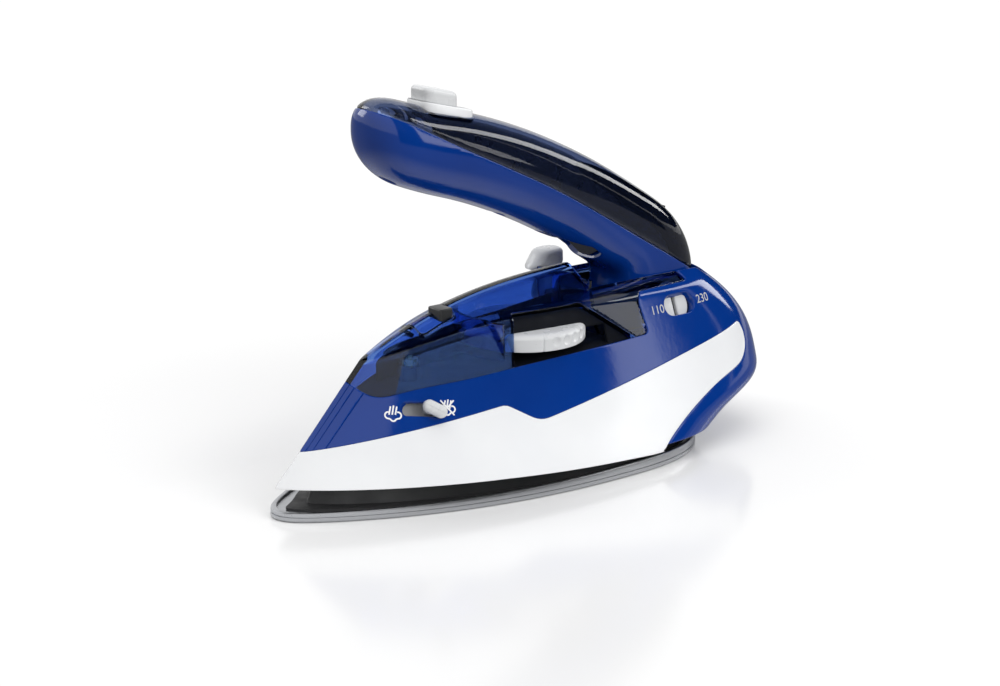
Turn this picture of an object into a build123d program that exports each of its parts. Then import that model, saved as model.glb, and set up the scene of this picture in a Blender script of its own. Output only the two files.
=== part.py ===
"""Travel steam iron with a folding handle: soleplate, housings, tank, controls, handle."""

import math
import os

from build123d import *

# Nose towards -X, heel towards +X, +Z up, origin on the sole face. Millimetres.

# Fits
run_gap = 0.4
seat_gap = 0.2
shaft_gap = 0.05
screw_gap = 0.15

# Soleplate
sole_nose_x = -88.0
sole_length = 171.0
sole_width = 82.0
sole_base_h = 2.2
sole_edge_r = 0.8
rim_width = 2.2
rim_nose_h = 3.2
rim_heel_h = 4.9
vent_r = 1.3
vent_count = 7
vent_pitch = 11.0
vent_first_x = -38.0
vent_spread = 0.78
island_nose_x = -52.0
island_heel_x = 58.0
island_half_w = 23.5
island_h = 6.0
chamber_wall = 4.0
chamber_floor = 1.6
boss_r = 4.0

# Insulation mat and heat shield
mat_h = 0.7
shield_nose_x = -76.0
shield_heel_x = 78.0
shield_half_w = 36.0
shield_wall = 1.8
shield_top_z = 14.0
shield_deck = 2.0
shield_taper = 3.0

# Steam chamber parts
seal_h = 0.6
cover_h = 1.2

# Heating element
heater_r = 2.8
heater_half_w = 27.8
heater_nose_x = -62.5
heater_heel_x = 70.0
heater_run_share = 0.74
heater_post_r = 1.6
heater_post_h = 12.0

# Body shell
wall = 2.2
skirt_nose_x = -89.0
skirt_nose_z = 10.5
skirt_foot_z = 8.0
nose_lean = 0.9385
body_half_w = 40.0
side_lean = 0.39
heel_stations = ((8.0, 86.0, 2.4), (13.0, 96.0, 2.4), (19.0, 110.0, 1.8), (26.0, 113.5, 1.0))
heel_upper = ((34.0, 112.5, 1.05), (42.0, 109.0, 1.1), (50.0, 102.0, 1.3), (58.0, 91.5, 1.4), (67.0, 78.0, 1.5))
outline_points = 12
widest_share = 0.68
nose_power = 2.2
nose_blend = 0.82
heel_power = 4.2
heel_blend = 0.38

# Colour break between skirt and upper housing, in side view
break_nose = (-100.0, 18.3)
break_peak = (-12.6, 29.9)
break_low = (-1.5, 23.2)
break_rear = (96.4, 40.2)
band_points = (
    (97.7, 36.5),
    (96.9, 32.0),
    (94.8, 29.2),
    (87.2, 25.6),
    (70.0, 19.8),
    (56.5, 13.1),
    (47.0, 6.5),
)

# Break between upper housing and tank, in side view
tank_front = (-62.0, 44.0)
tank_dip = (-56.0, 37.2)
tank_sill = (-46.0, 37.0)
tank_mid = (-6.3, 40.8)
tank_rear = (50.5, 43.4)
tank_step = (49.5, 54.5)
tank_strip = (54.5, 57.0)
strip_end_x = 120.0
deck_h = 2.2

# Tank roof
ridge_points = ((-62.0, 44.0), (-40.0, 53.2), (-16.0, 61.0), (18.0, 65.6), (84.0, 65.8))
roof_fall = 0.5
tank_wall = 2.0

# Chassis plate
chassis_h = 2.5

# Temperature dial
dial_x = 12.0
dial_y = -4.5
dial_r = 21.4
dial_foot_z = 44.6
dial_h = 6.4
dial_chamfer = 1.6
dial_dimple_r = 1.9
can_gap = 1.2
can_top_gap = 1.2
pocket_back_y = -14.0
pocket_corners = ((-7.0, 58.0), (26.0, 57.4), (48.0, 42.0), (-6.0, 40.0))
shaft_r = 3.0
thermostat_size = (24.0, 14.0, 7.0)

# Steam slider on the nose
slider_x = -40.4
slider_y = -15.5
slider_z = 31.5
slider_yaw = 24.0
slider_roll = 6.0
slot_height = 4.6
knob_length = 8.0
knob_out = 4.4
slider_travel = 6.5
slot_spare = 1.5
slot_length = knob_length + slider_travel + slot_spare
slider_plate_h = 1.6

# Drip valve
valve_x = -34.0
valve_r = 4.5
valve_bore_r = 1.8
needle_r = 1.2
needle_head_r = 3.2

# Filler lid
lid_front_x = -33.0
lid_length = 14.0
lid_half_w = 6.0
lid_pin_r = 0.9
lid_knuckle_r = 1.9
lid_cut_z = 49.0
lid_swing_gap = 1.8

# Voltage selector
selector_x = 67.3
selector_y = -22.8
selector_z = 50.6
selector_r = 6.2
selector_sink = 2.0
selector_h = 2.3
selector_slot = 1.6
selector_lean = 21.3

# Handle pivot and saddle
pivot_x = 64.0
pivot_z = 50.0
barrel_z = 58.0
barrel_r = 26.0
barrel_edge_r = 4.0
barrel_front = ((46.5, 38.0), (47.5, 44.0), (49.5, 49.0), (52.5, 54.5), (52.6, 60.2), (58.0, 69.0), (62.0, 99.0))
barrel_trim = ((30.0, 38.0), *barrel_front, (30.0, 99.0))
barrel_half_w = 13.0
saddle_gap = 0.8
pin_r = 3.0
pin_bore_r = 1.8
hub_r = 5.5
yoke_wall = 2.0
yoke_gap = 0.5
bush_r = 4.5
fold_angle = 17.0

# Handle
grip_ref_x = 29.0
grip_ref_z = 92.85
grip_slope = 0.5155
grip_sag = 0.0025
grip_half_h = 17.1
grip_half_h_rate = 0.0535
grip_half_w = 13.2
grip_power = 2.3
grip_lift_x = -22.0
grip_lift = 0.0055
tip_x = -52.8
tip_round = 16.0
tip_power = 2.4
tip_turns = (10.0, 30.0, 50.0, 70.0, 90.0)
grip_stations = (-36.8, -12.0, 14.0, 40.0, 66.0)
grip_wall = 2.4
section_points = 16
split_points = ((-62.0, 135.0), (-41.6, 125.9), (-22.7, 116.5), (20.2, 95.7), (59.7, 73.0), (100.0, 50.0))
channel_half_w = 7.5
channel_gap = 1.3

# Burst button and pump
burst_x = -22.5
burst_z = 128.5
burst_lean = 14.0
burst_length = 14.5
burst_width = 11.5
burst_out = 5.0
burst_travel = 2.5
bezel_length = 22.0
bezel_back = 2.5
bezel_width = 15.0
bezel_h = 1.4
pump_r = 7.0
pump_length = 12.5
button_foot = 6.0
press_gap = 0.5
pump_top = button_foot + burst_travel + press_gap
piston_r = 3.0
pump_wall = 1.5

# Cord inlet
inlet_x = 73.0
inlet_z = 76.5
inlet_lean = 20.0
collar_r = 8.0
collar_h = 7.0
gland_r = 5.6
cord_bore_r = 3.5

# Release button
release_x = 40.5
release_y = 18.6
release_top_z = 67.0
release_neck_z = 56.2
release_length = 15.0
release_width = 8.6
release_neck = 4.0
release_travel = 3.0
release_foot_z = 49.0

# Screws
screw_r = 1.5
screw_head_r = 2.8
screw_head_h = 1.8

sole_heel_x = sole_nose_x + sole_length
yoke_in = barrel_half_w + yoke_gap
yoke_out = yoke_in + yoke_wall
floor_z = sole_base_h + mat_h
island_top_z = sole_base_h + island_h
cover_z = island_top_z + seal_h
chassis_z = shield_top_z
chassis_top_z = chassis_z + chassis_h
dial_top_z = dial_foot_z + dial_h
outline_steps = [step / (2 * outline_points) for step in range(2 * outline_points + 1)]
section_steps = [step / section_points for step in range(section_points + 1)]


def boat_share(share, power, blend):
    """Half-width share of a boat outline at a share of its length."""
    if share < widest_share:
        return (1 - (1 - share / widest_share) ** nose_power) ** nose_blend
    return (1 - ((share - widest_share) / (1 - widest_share)) ** power) ** blend


def boat_ring(nose, heel, half, power, blend):
    """Points round a boat outline, from the nose along the near side and back."""
    points = []
    for step in range(2 * outline_points):
        share = (1 - math.cos(math.pi * step / outline_points)) / 2
        side = -half if step < outline_points else half
        points.append((nose + share * (heel - nose), side * boat_share(share, power, blend)))
    return points


def sole_ring(inset):
    """Sole outline, drawn in by inset."""
    return boat_ring(sole_nose_x + 1.6 * inset, sole_heel_x - inset, sole_width / 2 - inset, 2.8, 0.48)


def shield_ring(inset, rise):
    """Heat shield outline, narrower with height."""
    inset = inset + shield_taper * rise
    return boat_ring(shield_nose_x + 1.6 * inset, shield_heel_x - inset, shield_half_w - inset, 2.8, 0.48)


def island_ring(inset):
    """Steam chamber outline."""
    return boat_ring(island_nose_x + 1.6 * inset, island_heel_x - inset, island_half_w - inset, 2.8, 0.48)


def boat_taper(low, foot, high, top):
    """Solid between two boat outlines at two heights."""
    with BuildPart() as taper:
        for points, level in ((low, foot), (high, top)):
            with BuildSketch(Plane.XY.offset(level)):
                with BuildLine():
                    Spline(*points, periodic=True)
                make_face()
        loft(ruled=True)
    return taper.part


def boat_slab(points, foot, top):
    """Flat-topped solid on a boat outline."""
    with BuildPart() as slab:
        with BuildSketch(Plane.XY.offset(foot)):
            with BuildLine():
                Spline(*points, periodic=True)
            make_face()
        extrude(amount=top - foot)
    return slab.part


def body_solid(inset):
    """Whole body as a solid, drawn in by inset."""
    with BuildPart() as body:
        for level, reach, slant in heel_stations + heel_upper:
            nose = skirt_nose_x + (level - skirt_nose_z) * nose_lean + 1.5 * inset
            half = body_half_w - (level - skirt_foot_z) * side_lean - inset
            with BuildSketch(Plane.XY.offset(level)):
                with BuildLine():
                    ring = boat_ring(nose, reach - slant * inset, half, heel_power, heel_blend)
                    ring = [Vector(x, y) for x, y in ring]
                    add(Edge.make_spline(ring, periodic=True, parameters=outline_steps))
                make_face()
        loft()
    return body.part


def side_block(edge, floor_level):
    """Solid below a side-view line of points, reaching right across the iron."""
    with BuildPart() as block:
        with BuildSketch(Plane.XZ):
            with BuildLine():
                Polyline(*edge, (edge[-1][0], floor_level), (edge[0][0], floor_level), close=True)
            make_face()
        extrude(amount=90, both=True)
    return block.part


def tank_floor_block(drop):
    """Everything under the tank's lower edge, lowered by drop."""
    with BuildPart() as block:
        with BuildSketch(Plane.XZ):
            with BuildLine():
                Polyline((-130, -10), (-130, tank_front[1] + 68 - drop), (tank_front[0], tank_front[1] - drop))
                Spline(
                    (tank_front[0], tank_front[1] - drop),
                    (tank_dip[0], tank_dip[1] - drop),
                    (tank_sill[0], tank_sill[1] - drop),
                    (tank_mid[0], tank_mid[1] - drop),
                    (tank_rear[0] - 5, tank_rear[1] - drop),
                )
                Polyline(
                    (tank_rear[0] - 5, tank_rear[1] - drop),
                    (tank_rear[0] + drop, tank_rear[1] - drop),
                    (tank_step[0] + drop, tank_step[1] - drop),
                    (tank_strip[0], tank_strip[1] - drop),
                    (strip_end_x, tank_strip[1] - drop),
                    (strip_end_x, -10),
                    (-130, -10),
                )
            make_face()
        extrude(amount=90, both=True)
    return block.part


def roof_solid(drop):
    """Everything under the gabled tank roof, lowered by drop."""
    ridge = [(x, z - drop) for x, z in ridge_points]
    with BuildPart() as roof:
        with BuildSketch(Plane.XZ):
            with BuildLine():
                Spline(*ridge)
                Polyline(ridge[-1], (ridge[-1][0], -30), (ridge[0][0], -30), ridge[0])
            make_face()
        extrude(amount=60, dir=(0, -1, -roof_fall))
        mirror(about=Plane.XZ)
    return roof.part


def saddle_solid(extra, half):
    """Drum round the handle pivot."""
    with BuildPart() as drum:
        with BuildSketch(Plane.XZ):
            with Locations((pivot_x, barrel_z)):
                Circle(barrel_r + extra)
        extrude(amount=half, both=True)
    return drum.part


def drum_solid(inset):
    """Root drum of the handle with rounded rims, cut away under the grip."""
    with BuildPart() as drum:
        add(saddle_solid(-inset, barrel_half_w - inset))
        fillet(drum.edges().filter_by(GeomType.CIRCLE), radius=barrel_edge_r - inset)
        with BuildSketch(Plane.XZ):
            with BuildLine():
                Polyline(*[(x + inset, z - inset) for x, z in barrel_trim], close=True)
            make_face()
        extrude(amount=2 * barrel_half_w, both=True, mode=Mode.SUBTRACT)
    return drum.part


def saddle_sweep(extra, half):
    """Space the drum takes up between the open and the folded handle."""
    swing = math.radians(fold_angle)
    rise = barrel_z - pivot_z
    with BuildPart() as space:
        for turn in (0.0, swing / 2, swing):
            with BuildSketch(Plane.XZ):
                with Locations((pivot_x - rise * math.sin(turn), pivot_z + rise * math.cos(turn))):
                    Circle(barrel_r + extra)
            extrude(amount=half, both=True)
    return space.part


def grip_half_height(x):
    """Half height of the handle at x before its front rounding."""
    return grip_half_h + grip_half_h_rate * (x - grip_ref_x) * 0.8


def grip_middle(x):
    """Height of the handle's centre line at x."""
    run = x - grip_ref_x
    rise = grip_lift * min(0.0, x - grip_lift_x) ** 2
    return grip_ref_z - grip_slope * run - grip_sag * run**2 + rise


def tip_share(x):
    """Shrink of the handle section towards its rounded front."""
    reach = max(0.0, (tip_x + tip_round - x) / tip_round)
    return (1 - reach**tip_power) ** (1 / tip_power)


def grip_section(x, inset):
    """Closed section of the handle at x, as points in (y, z)."""
    shrink = tip_share(x)
    half_w = max(grip_half_w * shrink - inset, 0.6)
    half_h = max(grip_half_height(x) * shrink - inset, 0.6)
    points = []
    for step in range(section_points):
        turn = 2 * math.pi * step / section_points
        across = math.copysign(abs(math.cos(turn)) ** (2 / grip_power), math.cos(turn))
        up = math.copysign(abs(math.sin(turn)) ** (2 / grip_power), math.sin(turn))
        points.append((half_w * across, grip_middle(x) + half_h * up))
    return points


def grip_solid(inset):
    """Handle body and its root drum as one solid, drawn in by inset."""
    tip_stations = [tip_x + tip_round * (1 - math.cos(math.radians(turn))) for turn in tip_turns]
    with BuildPart() as grip:
        for stations in (grip_stations, tip_stations):
            for x in stations:
                if tip_share(x) * grip_half_w > inset + 2:
                    with BuildSketch(Plane(origin=(x, 0, 0), x_dir=(0, 1, 0), z_dir=(1, 0, 0))):
                        with BuildLine():
                            ring = [Vector(y, z) for y, z in grip_section(x, inset)]
                            add(Edge.make_spline(ring, periodic=True, parameters=section_steps))
                        make_face()
            loft()
        add(drum_solid(inset))
    return grip.part


def above_split(lift):
    """Everything above the joint line of the handle halves, raised by lift."""
    line = [(x, z + lift) for x, z in split_points]
    with BuildPart() as upper:
        with BuildSketch(Plane.XZ):
            with BuildLine():
                Spline(*line)
                Polyline(line[-1], (line[-1][0], 190), (line[0][0], 190), line[0])
            make_face()
        extrude(amount=40, both=True)
    return upper.part


def tube(path, radius, bore):
    """Round tube along a smooth line of points."""
    with BuildPart() as pipe:
        with BuildLine() as run:
            Spline(*path)
        with BuildSketch(Plane(run.line @ 0, z_dir=run.line % 0)):
            Circle(radius)
            if bore:
                Circle(bore, mode=Mode.SUBTRACT)
        sweep()
    return pipe.part


def screw(plane, length):
    """Pan-head screw, head seated on the plane, shank running against its normal."""
    with BuildPart() as fastener:
        with BuildSketch(plane):
            Circle(screw_head_r)
        extrude(amount=screw_head_h)
        with BuildSketch(plane):
            Circle(screw_r)
        extrude(amount=-length)
        with BuildSketch(plane.offset(screw_head_h)):
            Rectangle(3.2, 0.7)
            Rectangle(0.7, 3.2)
        extrude(amount=-0.9, mode=Mode.SUBTRACT)
    return fastener.part


def save(part, label):
    """Label a finished part and write its file."""
    part.label = label
    export_step(part, "parts/" + label + ".step")


os.makedirs("parts", exist_ok=True)

body_outer = body_solid(0)
body_inner = body_solid(wall)
grip_outer = grip_solid(0)

# Soleplate: thin plate with a raised rim, cast steam chamber and a screw boss
boss_x = shield_heel_x - 10.0
chamber_half = island_half_w - chamber_wall
cover_screws_at = []
for along in (-24.0, 40.0):
    share = (along - island_nose_x) / (island_heel_x - island_nose_x)
    reach = (island_half_w - chamber_wall / 2) * boat_share(share, 2.8, 0.48)
    cover_screws_at += [(along, reach), (along, -reach)]
with BuildPart() as soleplate:
    add(boat_taper(sole_ring(sole_edge_r), 0, sole_ring(0), sole_edge_r))
    add(boat_slab(sole_ring(0), sole_edge_r, rim_heel_h))
    add(boat_slab(sole_ring(rim_width), sole_base_h, rim_heel_h + 1), mode=Mode.SUBTRACT)
    add(side_block(((sole_nose_x, rim_nose_h), (sole_heel_x, rim_heel_h)), -5), mode=Mode.INTERSECT)
    add(boat_slab(island_ring(0), sole_base_h, island_top_z))
    add(boat_slab(island_ring(chamber_wall), sole_base_h + chamber_floor, island_top_z), mode=Mode.SUBTRACT)
    with BuildSketch(Plane.XY.offset(sole_base_h)):
        with Locations((boss_x, 0)):
            Circle(boss_r)
    extrude(amount=shield_top_z - shield_deck - sole_base_h)
    with BuildSketch(Plane.XY.offset(shield_top_z)):
        with Locations((boss_x, 0)):
            Circle(screw_r + screw_gap)
    extrude(amount=-10, mode=Mode.SUBTRACT)
    with BuildSketch(Plane.XY.offset(island_top_z)):
        with Locations(*cover_screws_at):
            Circle(screw_r + screw_gap)
    extrude(amount=-5, mode=Mode.SUBTRACT)
    with BuildSketch(Plane.XY):
        for row in range(vent_count):
            along = vent_first_x + row * vent_pitch
            share = (along - island_nose_x) / (island_heel_x - island_nose_x)
            spread = vent_spread * chamber_half * boat_share(share, 2.8, 0.48)
            with Locations((along, spread), (along, -spread)):
                Circle(vent_r)
    extrude(amount=sole_base_h + chamber_floor, mode=Mode.SUBTRACT)
save(soleplate.part, "soleplate")

# Insulation mat on the plate between rim and chamber
with BuildPart() as insulation_mat:
    add(boat_slab(sole_ring(rim_width + seat_gap), sole_base_h, floor_z))
    add(boat_slab(island_ring(-run_gap), sole_base_h, floor_z), mode=Mode.SUBTRACT)
    with BuildSketch(Plane.XY.offset(sole_base_h)):
        with Locations((boss_x, 0)):
            Circle(boss_r + run_gap)
    extrude(amount=mat_h, mode=Mode.SUBTRACT)
save(insulation_mat.part, "insulation_mat")

# Sheathed heating element bent round the chamber
heater_z = floor_z + heater_r
heater_path = []
for step in range(-8, 9):
    share = heater_run_share * (step / 8) ** 2
    along = heater_nose_x + share * (heater_heel_x - heater_nose_x)
    across = math.copysign(heater_half_w * boat_share(share, 2.8, 0.48), step)
    heater_path.append((along, across, heater_z))
heater_end = heater_path[-1]
save(tube(heater_path, heater_r, 0), "heating_element")

# Terminal posts of the heating element
post_x = heater_end[0] - heater_post_r
heater_posts_at = ((post_x, heater_end[1]), (post_x, -heater_end[1]))
with BuildPart() as heater_posts:
    with BuildSketch(Plane.XY.offset(heater_z + heater_r)):
        with Locations(*heater_posts_at):
            Circle(heater_post_r)
    extrude(amount=heater_post_h)
save(heater_posts.part, "heater_posts")

# Gasket and lid of the steam chamber
with BuildPart() as chamber_seal:
    add(boat_slab(island_ring(seat_gap), island_top_z, cover_z))
    add(boat_slab(island_ring(chamber_wall - seat_gap), island_top_z, cover_z), mode=Mode.SUBTRACT)
    with BuildSketch(Plane.XY.offset(island_top_z)):
        with Locations(*cover_screws_at):
            Circle(screw_r + screw_gap)
    extrude(amount=seal_h, mode=Mode.SUBTRACT)
save(chamber_seal.part, "chamber_seal")

cover_top_z = cover_z + cover_h
with BuildPart() as chamber_cover:
    add(boat_slab(island_ring(seat_gap), cover_z, cover_top_z))
    with BuildSketch(Plane.XY.offset(cover_z)):
        with Locations(*cover_screws_at):
            Circle(screw_r + screw_gap)
        with Locations((valve_x, 0)):
            Circle(valve_bore_r)
    extrude(amount=cover_h, mode=Mode.SUBTRACT)
save(chamber_cover.part, "steam_chamber_cover")

with BuildPart() as cover_screws:
    for x, y in cover_screws_at:
        add(screw(Plane((x, y, cover_top_z)), 5.0))
save(cover_screws.part, "chamber_cover_screws")

# Thermostat block with its contact arm, on the chamber lid under the dial
thermostat_l, thermostat_w, thermostat_h = thermostat_size
with BuildPart() as thermostat:
    with BuildSketch(Plane.XY.offset(cover_top_z)):
        with Locations((dial_x, dial_y)):
            Rectangle(thermostat_l, thermostat_w)
    extrude(amount=thermostat_h - 2)
    with BuildSketch(Plane.XY.offset(cover_top_z + thermostat_h - 2)):
        with Locations((dial_x, dial_y)):
            Circle(shaft_r + 2)
        with Locations((dial_x - 7, dial_y)):
            Rectangle(8, 5)
    extrude(amount=2)
save(thermostat.part, "thermostat")

# Heat shield: black plinth over the chamber
with BuildPart() as heat_shield:
    add(boat_taper(shield_ring(0, 0), floor_z, shield_ring(0, 1), shield_top_z))
    inside_top = shield_top_z - shield_deck
    add(
        boat_taper(shield_ring(shield_wall, 0), floor_z, shield_ring(shield_wall, 1), inside_top),
        mode=Mode.SUBTRACT,
    )
    with BuildSketch(Plane.XY.offset(inside_top)):
        with Locations((dial_x, dial_y)):
            Rectangle(thermostat_l + 2, thermostat_w + 2)
        with Locations((valve_x, 0)):
            Circle(valve_r + run_gap)
        with Locations((boss_x, 0)):
            Circle(screw_r + screw_gap)
        with Locations(*heater_posts_at):
            Circle(heater_post_r + run_gap)
    extrude(amount=shield_deck, mode=Mode.SUBTRACT)
save(heat_shield.part, "heat_shield")

with BuildPart() as shield_screw:
    add(screw(Plane((boss_x, 0, shield_top_z)), 8.0))
save(shield_screw.part, "shield_screw")

# Chassis plate that closes the skirt and carries the hinge yoke
yoke_x0 = pivot_x - 14.0
yoke_x1 = pivot_x + 14.0
yoke_screws_at = ((yoke_x0 + 3.5, 0.0), (yoke_x1 - 3.5, 0.0))
with BuildPart() as chassis:
    add(body_solid(wall + seat_gap + 0.4))
    with BuildSketch(Plane.XY.offset(chassis_z)):
        Rectangle(300, 120)
    extrude(amount=chassis_h, mode=Mode.INTERSECT)
    with BuildSketch(Plane.XY.offset(chassis_z)):
        with Locations((dial_x, dial_y)):
            Rectangle(thermostat_l + 2, thermostat_w + 2)
        with Locations((valve_x, 0)):
            Circle(valve_r + run_gap)
        with Locations((boss_x, 0)):
            Circle(screw_head_r + run_gap)
        with Locations(*heater_posts_at):
            Circle(heater_post_r + run_gap)
        with Locations(*yoke_screws_at):
            Circle(screw_r + screw_gap)
    extrude(amount=chassis_h, mode=Mode.SUBTRACT)
save(chassis.part, "chassis")

# White skirt and blue upper housing, parted along the zigzag and the rear band
with BuildPart() as skirt_region:
    with BuildSketch(Plane.XZ) as skirt_sketch:
        with BuildLine():
            Polyline(
                band_points[-1],
                (-20, skirt_foot_z + 0.2),
                (-100, skirt_nose_z + 0.4),
                break_nose,
                break_peak,
                break_low,
                break_rear,
            )
            Spline(break_rear, *band_points)
        make_face()
        fillet(skirt_sketch.vertices().sort_by_distance(break_low)[0], radius=4)
        fillet(skirt_sketch.vertices().sort_by_distance(break_peak)[0], radius=1.5)
    extrude(amount=90, both=True)

with BuildPart() as skirt:
    add(body_outer)
    add(body_inner, mode=Mode.SUBTRACT)
    add(skirt_region.part, mode=Mode.INTERSECT)
save(skirt.part, "skirt")

slider_lean = math.degrees(math.atan(side_lean))
slider_out = Vector(
    -math.sin(math.radians(slider_yaw)) * math.cos(math.radians(slider_lean)),
    -math.cos(math.radians(slider_yaw)) * math.cos(math.radians(slider_lean)),
    math.sin(math.radians(slider_lean)),
)
slider_run = Vector(
    math.cos(math.radians(slider_yaw)) * math.cos(math.radians(slider_roll)),
    -math.sin(math.radians(slider_yaw)) * math.cos(math.radians(slider_roll)),
    -math.sin(math.radians(slider_roll)),
)
slider_plane = Plane((slider_x, slider_y, slider_z), x_dir=slider_run, z_dir=slider_out)

selector_out = Vector(
    0, -math.cos(math.radians(selector_lean)), math.sin(math.radians(selector_lean))
)
selector_plane = Plane((selector_x, selector_y, selector_z), x_dir=(1, 0, 0), z_dir=selector_out)

rear_panel_w = 26.0
rear_panel_z0 = 21.0
rear_panel_z1 = 38.0
rear_panel_x = 100.0
with BuildPart() as housing_void:
    add(body_inner)
    add(tank_floor_block(deck_h), mode=Mode.INTERSECT)
with BuildPart() as housing_all:
    add(body_outer)
    add(tank_floor_block(0), mode=Mode.INTERSECT)
    add(housing_void.part, mode=Mode.SUBTRACT)
    add(skirt_region.part, mode=Mode.SUBTRACT)
    foot_edge = ((-130, 30), (-60, skirt_foot_z + 0.2), (130, skirt_foot_z + 0.2))
    add(side_block(foot_edge, -5), mode=Mode.SUBTRACT)
    add(saddle_sweep(saddle_gap, barrel_half_w + saddle_gap), mode=Mode.SUBTRACT)
    with BuildSketch(Plane.XY.offset(barrel_z - 10)):
        with Locations((pivot_x, 0)):
            Rectangle(2 * barrel_r, 2 * (barrel_half_w + saddle_gap))
    extrude(amount=30, mode=Mode.SUBTRACT)
    with BuildSketch(Plane.XY.offset(chassis_top_z)):
        with Locations((pivot_x, 0)):
            Rectangle(2 * (hub_r + 1.4), 2 * (yoke_out + 1))
    extrude(amount=60, mode=Mode.SUBTRACT)
    with BuildSketch(Plane.XY.offset(30)):
        with Locations((dial_x, dial_y)):
            Circle(shaft_r + run_gap)
        with Locations((valve_x, 0)):
            Circle(valve_r + seat_gap)
    extrude(amount=16, mode=Mode.SUBTRACT)
    with BuildSketch(slider_plane):
        SlotOverall(slot_length, slot_height)
    extrude(amount=5, both=True, mode=Mode.SUBTRACT)
    with BuildSketch(selector_plane):
        Circle(selector_r + run_gap)
    extrude(amount=5, both=True, mode=Mode.SUBTRACT)
housing_main = housing_all.part.solids().sort_by(SortBy.VOLUME)[-1]

with BuildPart() as rear_frame:
    with BuildSketch(Plane.YZ.offset(rear_panel_x)):
        with Locations((0, (rear_panel_z0 + rear_panel_z1) / 2)):
            RectangleRounded(rear_panel_w, rear_panel_z1 - rear_panel_z0, 4)
    extrude(amount=30)
with BuildPart() as rear_plug:
    with BuildSketch(Plane.YZ.offset(rear_panel_x)):
        with Locations((0, (rear_panel_z0 + rear_panel_z1) / 2)):
            RectangleRounded(
                rear_panel_w - 2 * seat_gap, rear_panel_z1 - rear_panel_z0 - 2 * seat_gap, 4 - seat_gap
            )
    extrude(amount=30)

with BuildPart() as upper_housing:
    add(housing_main)
    add(rear_frame.part, mode=Mode.SUBTRACT)
save(upper_housing.part, "upper_housing")

with BuildPart() as rear_cover:
    add(housing_main)
    add(rear_plug.part, mode=Mode.INTERSECT)
save(rear_cover.part, "rear_cover")

# Water tank: smoky gabled crown with a pocket for the dial and legs beside the hinge
with BuildPart() as dial_pocket:
    with BuildSketch(Plane.XZ.offset(-pocket_back_y)):
        with BuildLine():
            Polyline(*pocket_corners, close=True)
        make_face()
    extrude(amount=60)
with BuildPart() as dial_can:
    with BuildSketch(Plane.XY.offset(dial_foot_z - 8)):
        with Locations((dial_x, dial_y)):
            Circle(dial_r + can_gap)
    extrude(amount=8 + dial_h + can_top_gap)
with BuildPart() as dry_space:
    with BuildSketch(Plane.XZ.offset(-pocket_back_y - tank_wall)):
        with BuildLine():
            Polyline(*pocket_corners, close=True)
        make_face()
        offset(amount=tank_wall)
    extrude(amount=60)
    with BuildSketch(Plane.XY.offset(dial_foot_z - 8)):
        with Locations((dial_x, dial_y)):
            Circle(dial_r + can_gap + tank_wall)
    extrude(amount=8 + dial_h + can_top_gap + tank_wall)
    add(saddle_sweep(saddle_gap + tank_wall, 40))
    with BuildSketch(Plane.XY.offset(30)):
        with Locations((pivot_x, 0)):
            Rectangle(50, 100)
    extrude(amount=50)

lid_back_x = lid_front_x + lid_length
with BuildPart() as lid_hole:
    with BuildSketch(Plane.XY.offset(lid_cut_z)):
        with Locations(((lid_front_x + lid_back_x) / 2, 0)):
            Rectangle(lid_length + 2 * run_gap, 2 * (lid_half_w + run_gap))
        with Locations((lid_front_x - lid_knuckle_r, 0)):
            Rectangle(3 * lid_knuckle_r, lid_half_w)
        with Locations((lid_front_x - lid_swing_gap / 2, 0)):
            Rectangle(lid_swing_gap, 1.6 * lid_half_w)
    extrude(amount=30)
with BuildPart() as lid_plug:
    with BuildSketch(Plane.XY.offset(lid_cut_z)):
        with Locations(((lid_front_x + lid_back_x) / 2, 0)):
            Rectangle(lid_length, 2 * lid_half_w)
    extrude(amount=30)

with BuildPart() as water_space:
    add(body_inner)
    add(roof_solid(tank_wall), mode=Mode.INTERSECT)
    add(tank_floor_block(-tank_wall), mode=Mode.SUBTRACT)
    add(dry_space.part, mode=Mode.SUBTRACT)
with BuildPart() as tank_crown:
    add(body_outer)
    add(roof_solid(0), mode=Mode.INTERSECT)
    add(tank_floor_block(0), mode=Mode.SUBTRACT)
    add(water_space.part, mode=Mode.SUBTRACT)
with BuildPart() as water_tank:
    add(tank_crown.part)
    add(dial_pocket.part, mode=Mode.SUBTRACT)
    add(dial_can.part, mode=Mode.SUBTRACT)
    add(saddle_sweep(saddle_gap, barrel_half_w + saddle_gap), mode=Mode.SUBTRACT)
    with BuildSketch(Plane.XY.offset(barrel_z)):
        with Locations((pivot_x + barrel_r, 0)):
            Rectangle(2 * barrel_r, 2 * (barrel_half_w + saddle_gap))
    extrude(amount=30, mode=Mode.SUBTRACT)
    add(lid_hole.part, mode=Mode.SUBTRACT)
    with BuildSketch(Plane.XY.offset(30)):
        with Locations((valve_x, 0)):
            Circle(valve_r + seat_gap)
    extrude(amount=12, mode=Mode.SUBTRACT)
    with BuildSketch(Plane.XY.offset(30)):
        with Locations((release_x, release_y)):
            Circle(release_neck + run_gap)
    extrude(amount=50, mode=Mode.SUBTRACT)
    with BuildSketch(Plane.XY.offset(release_foot_z - release_travel - 1)):
        with Locations((release_x, barrel_half_w + 2)):
            Rectangle(5, 6)
    extrude(amount=20, mode=Mode.SUBTRACT)
save(water_tank.part.solids().sort_by(SortBy.VOLUME)[-1], "water_tank")

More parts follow.
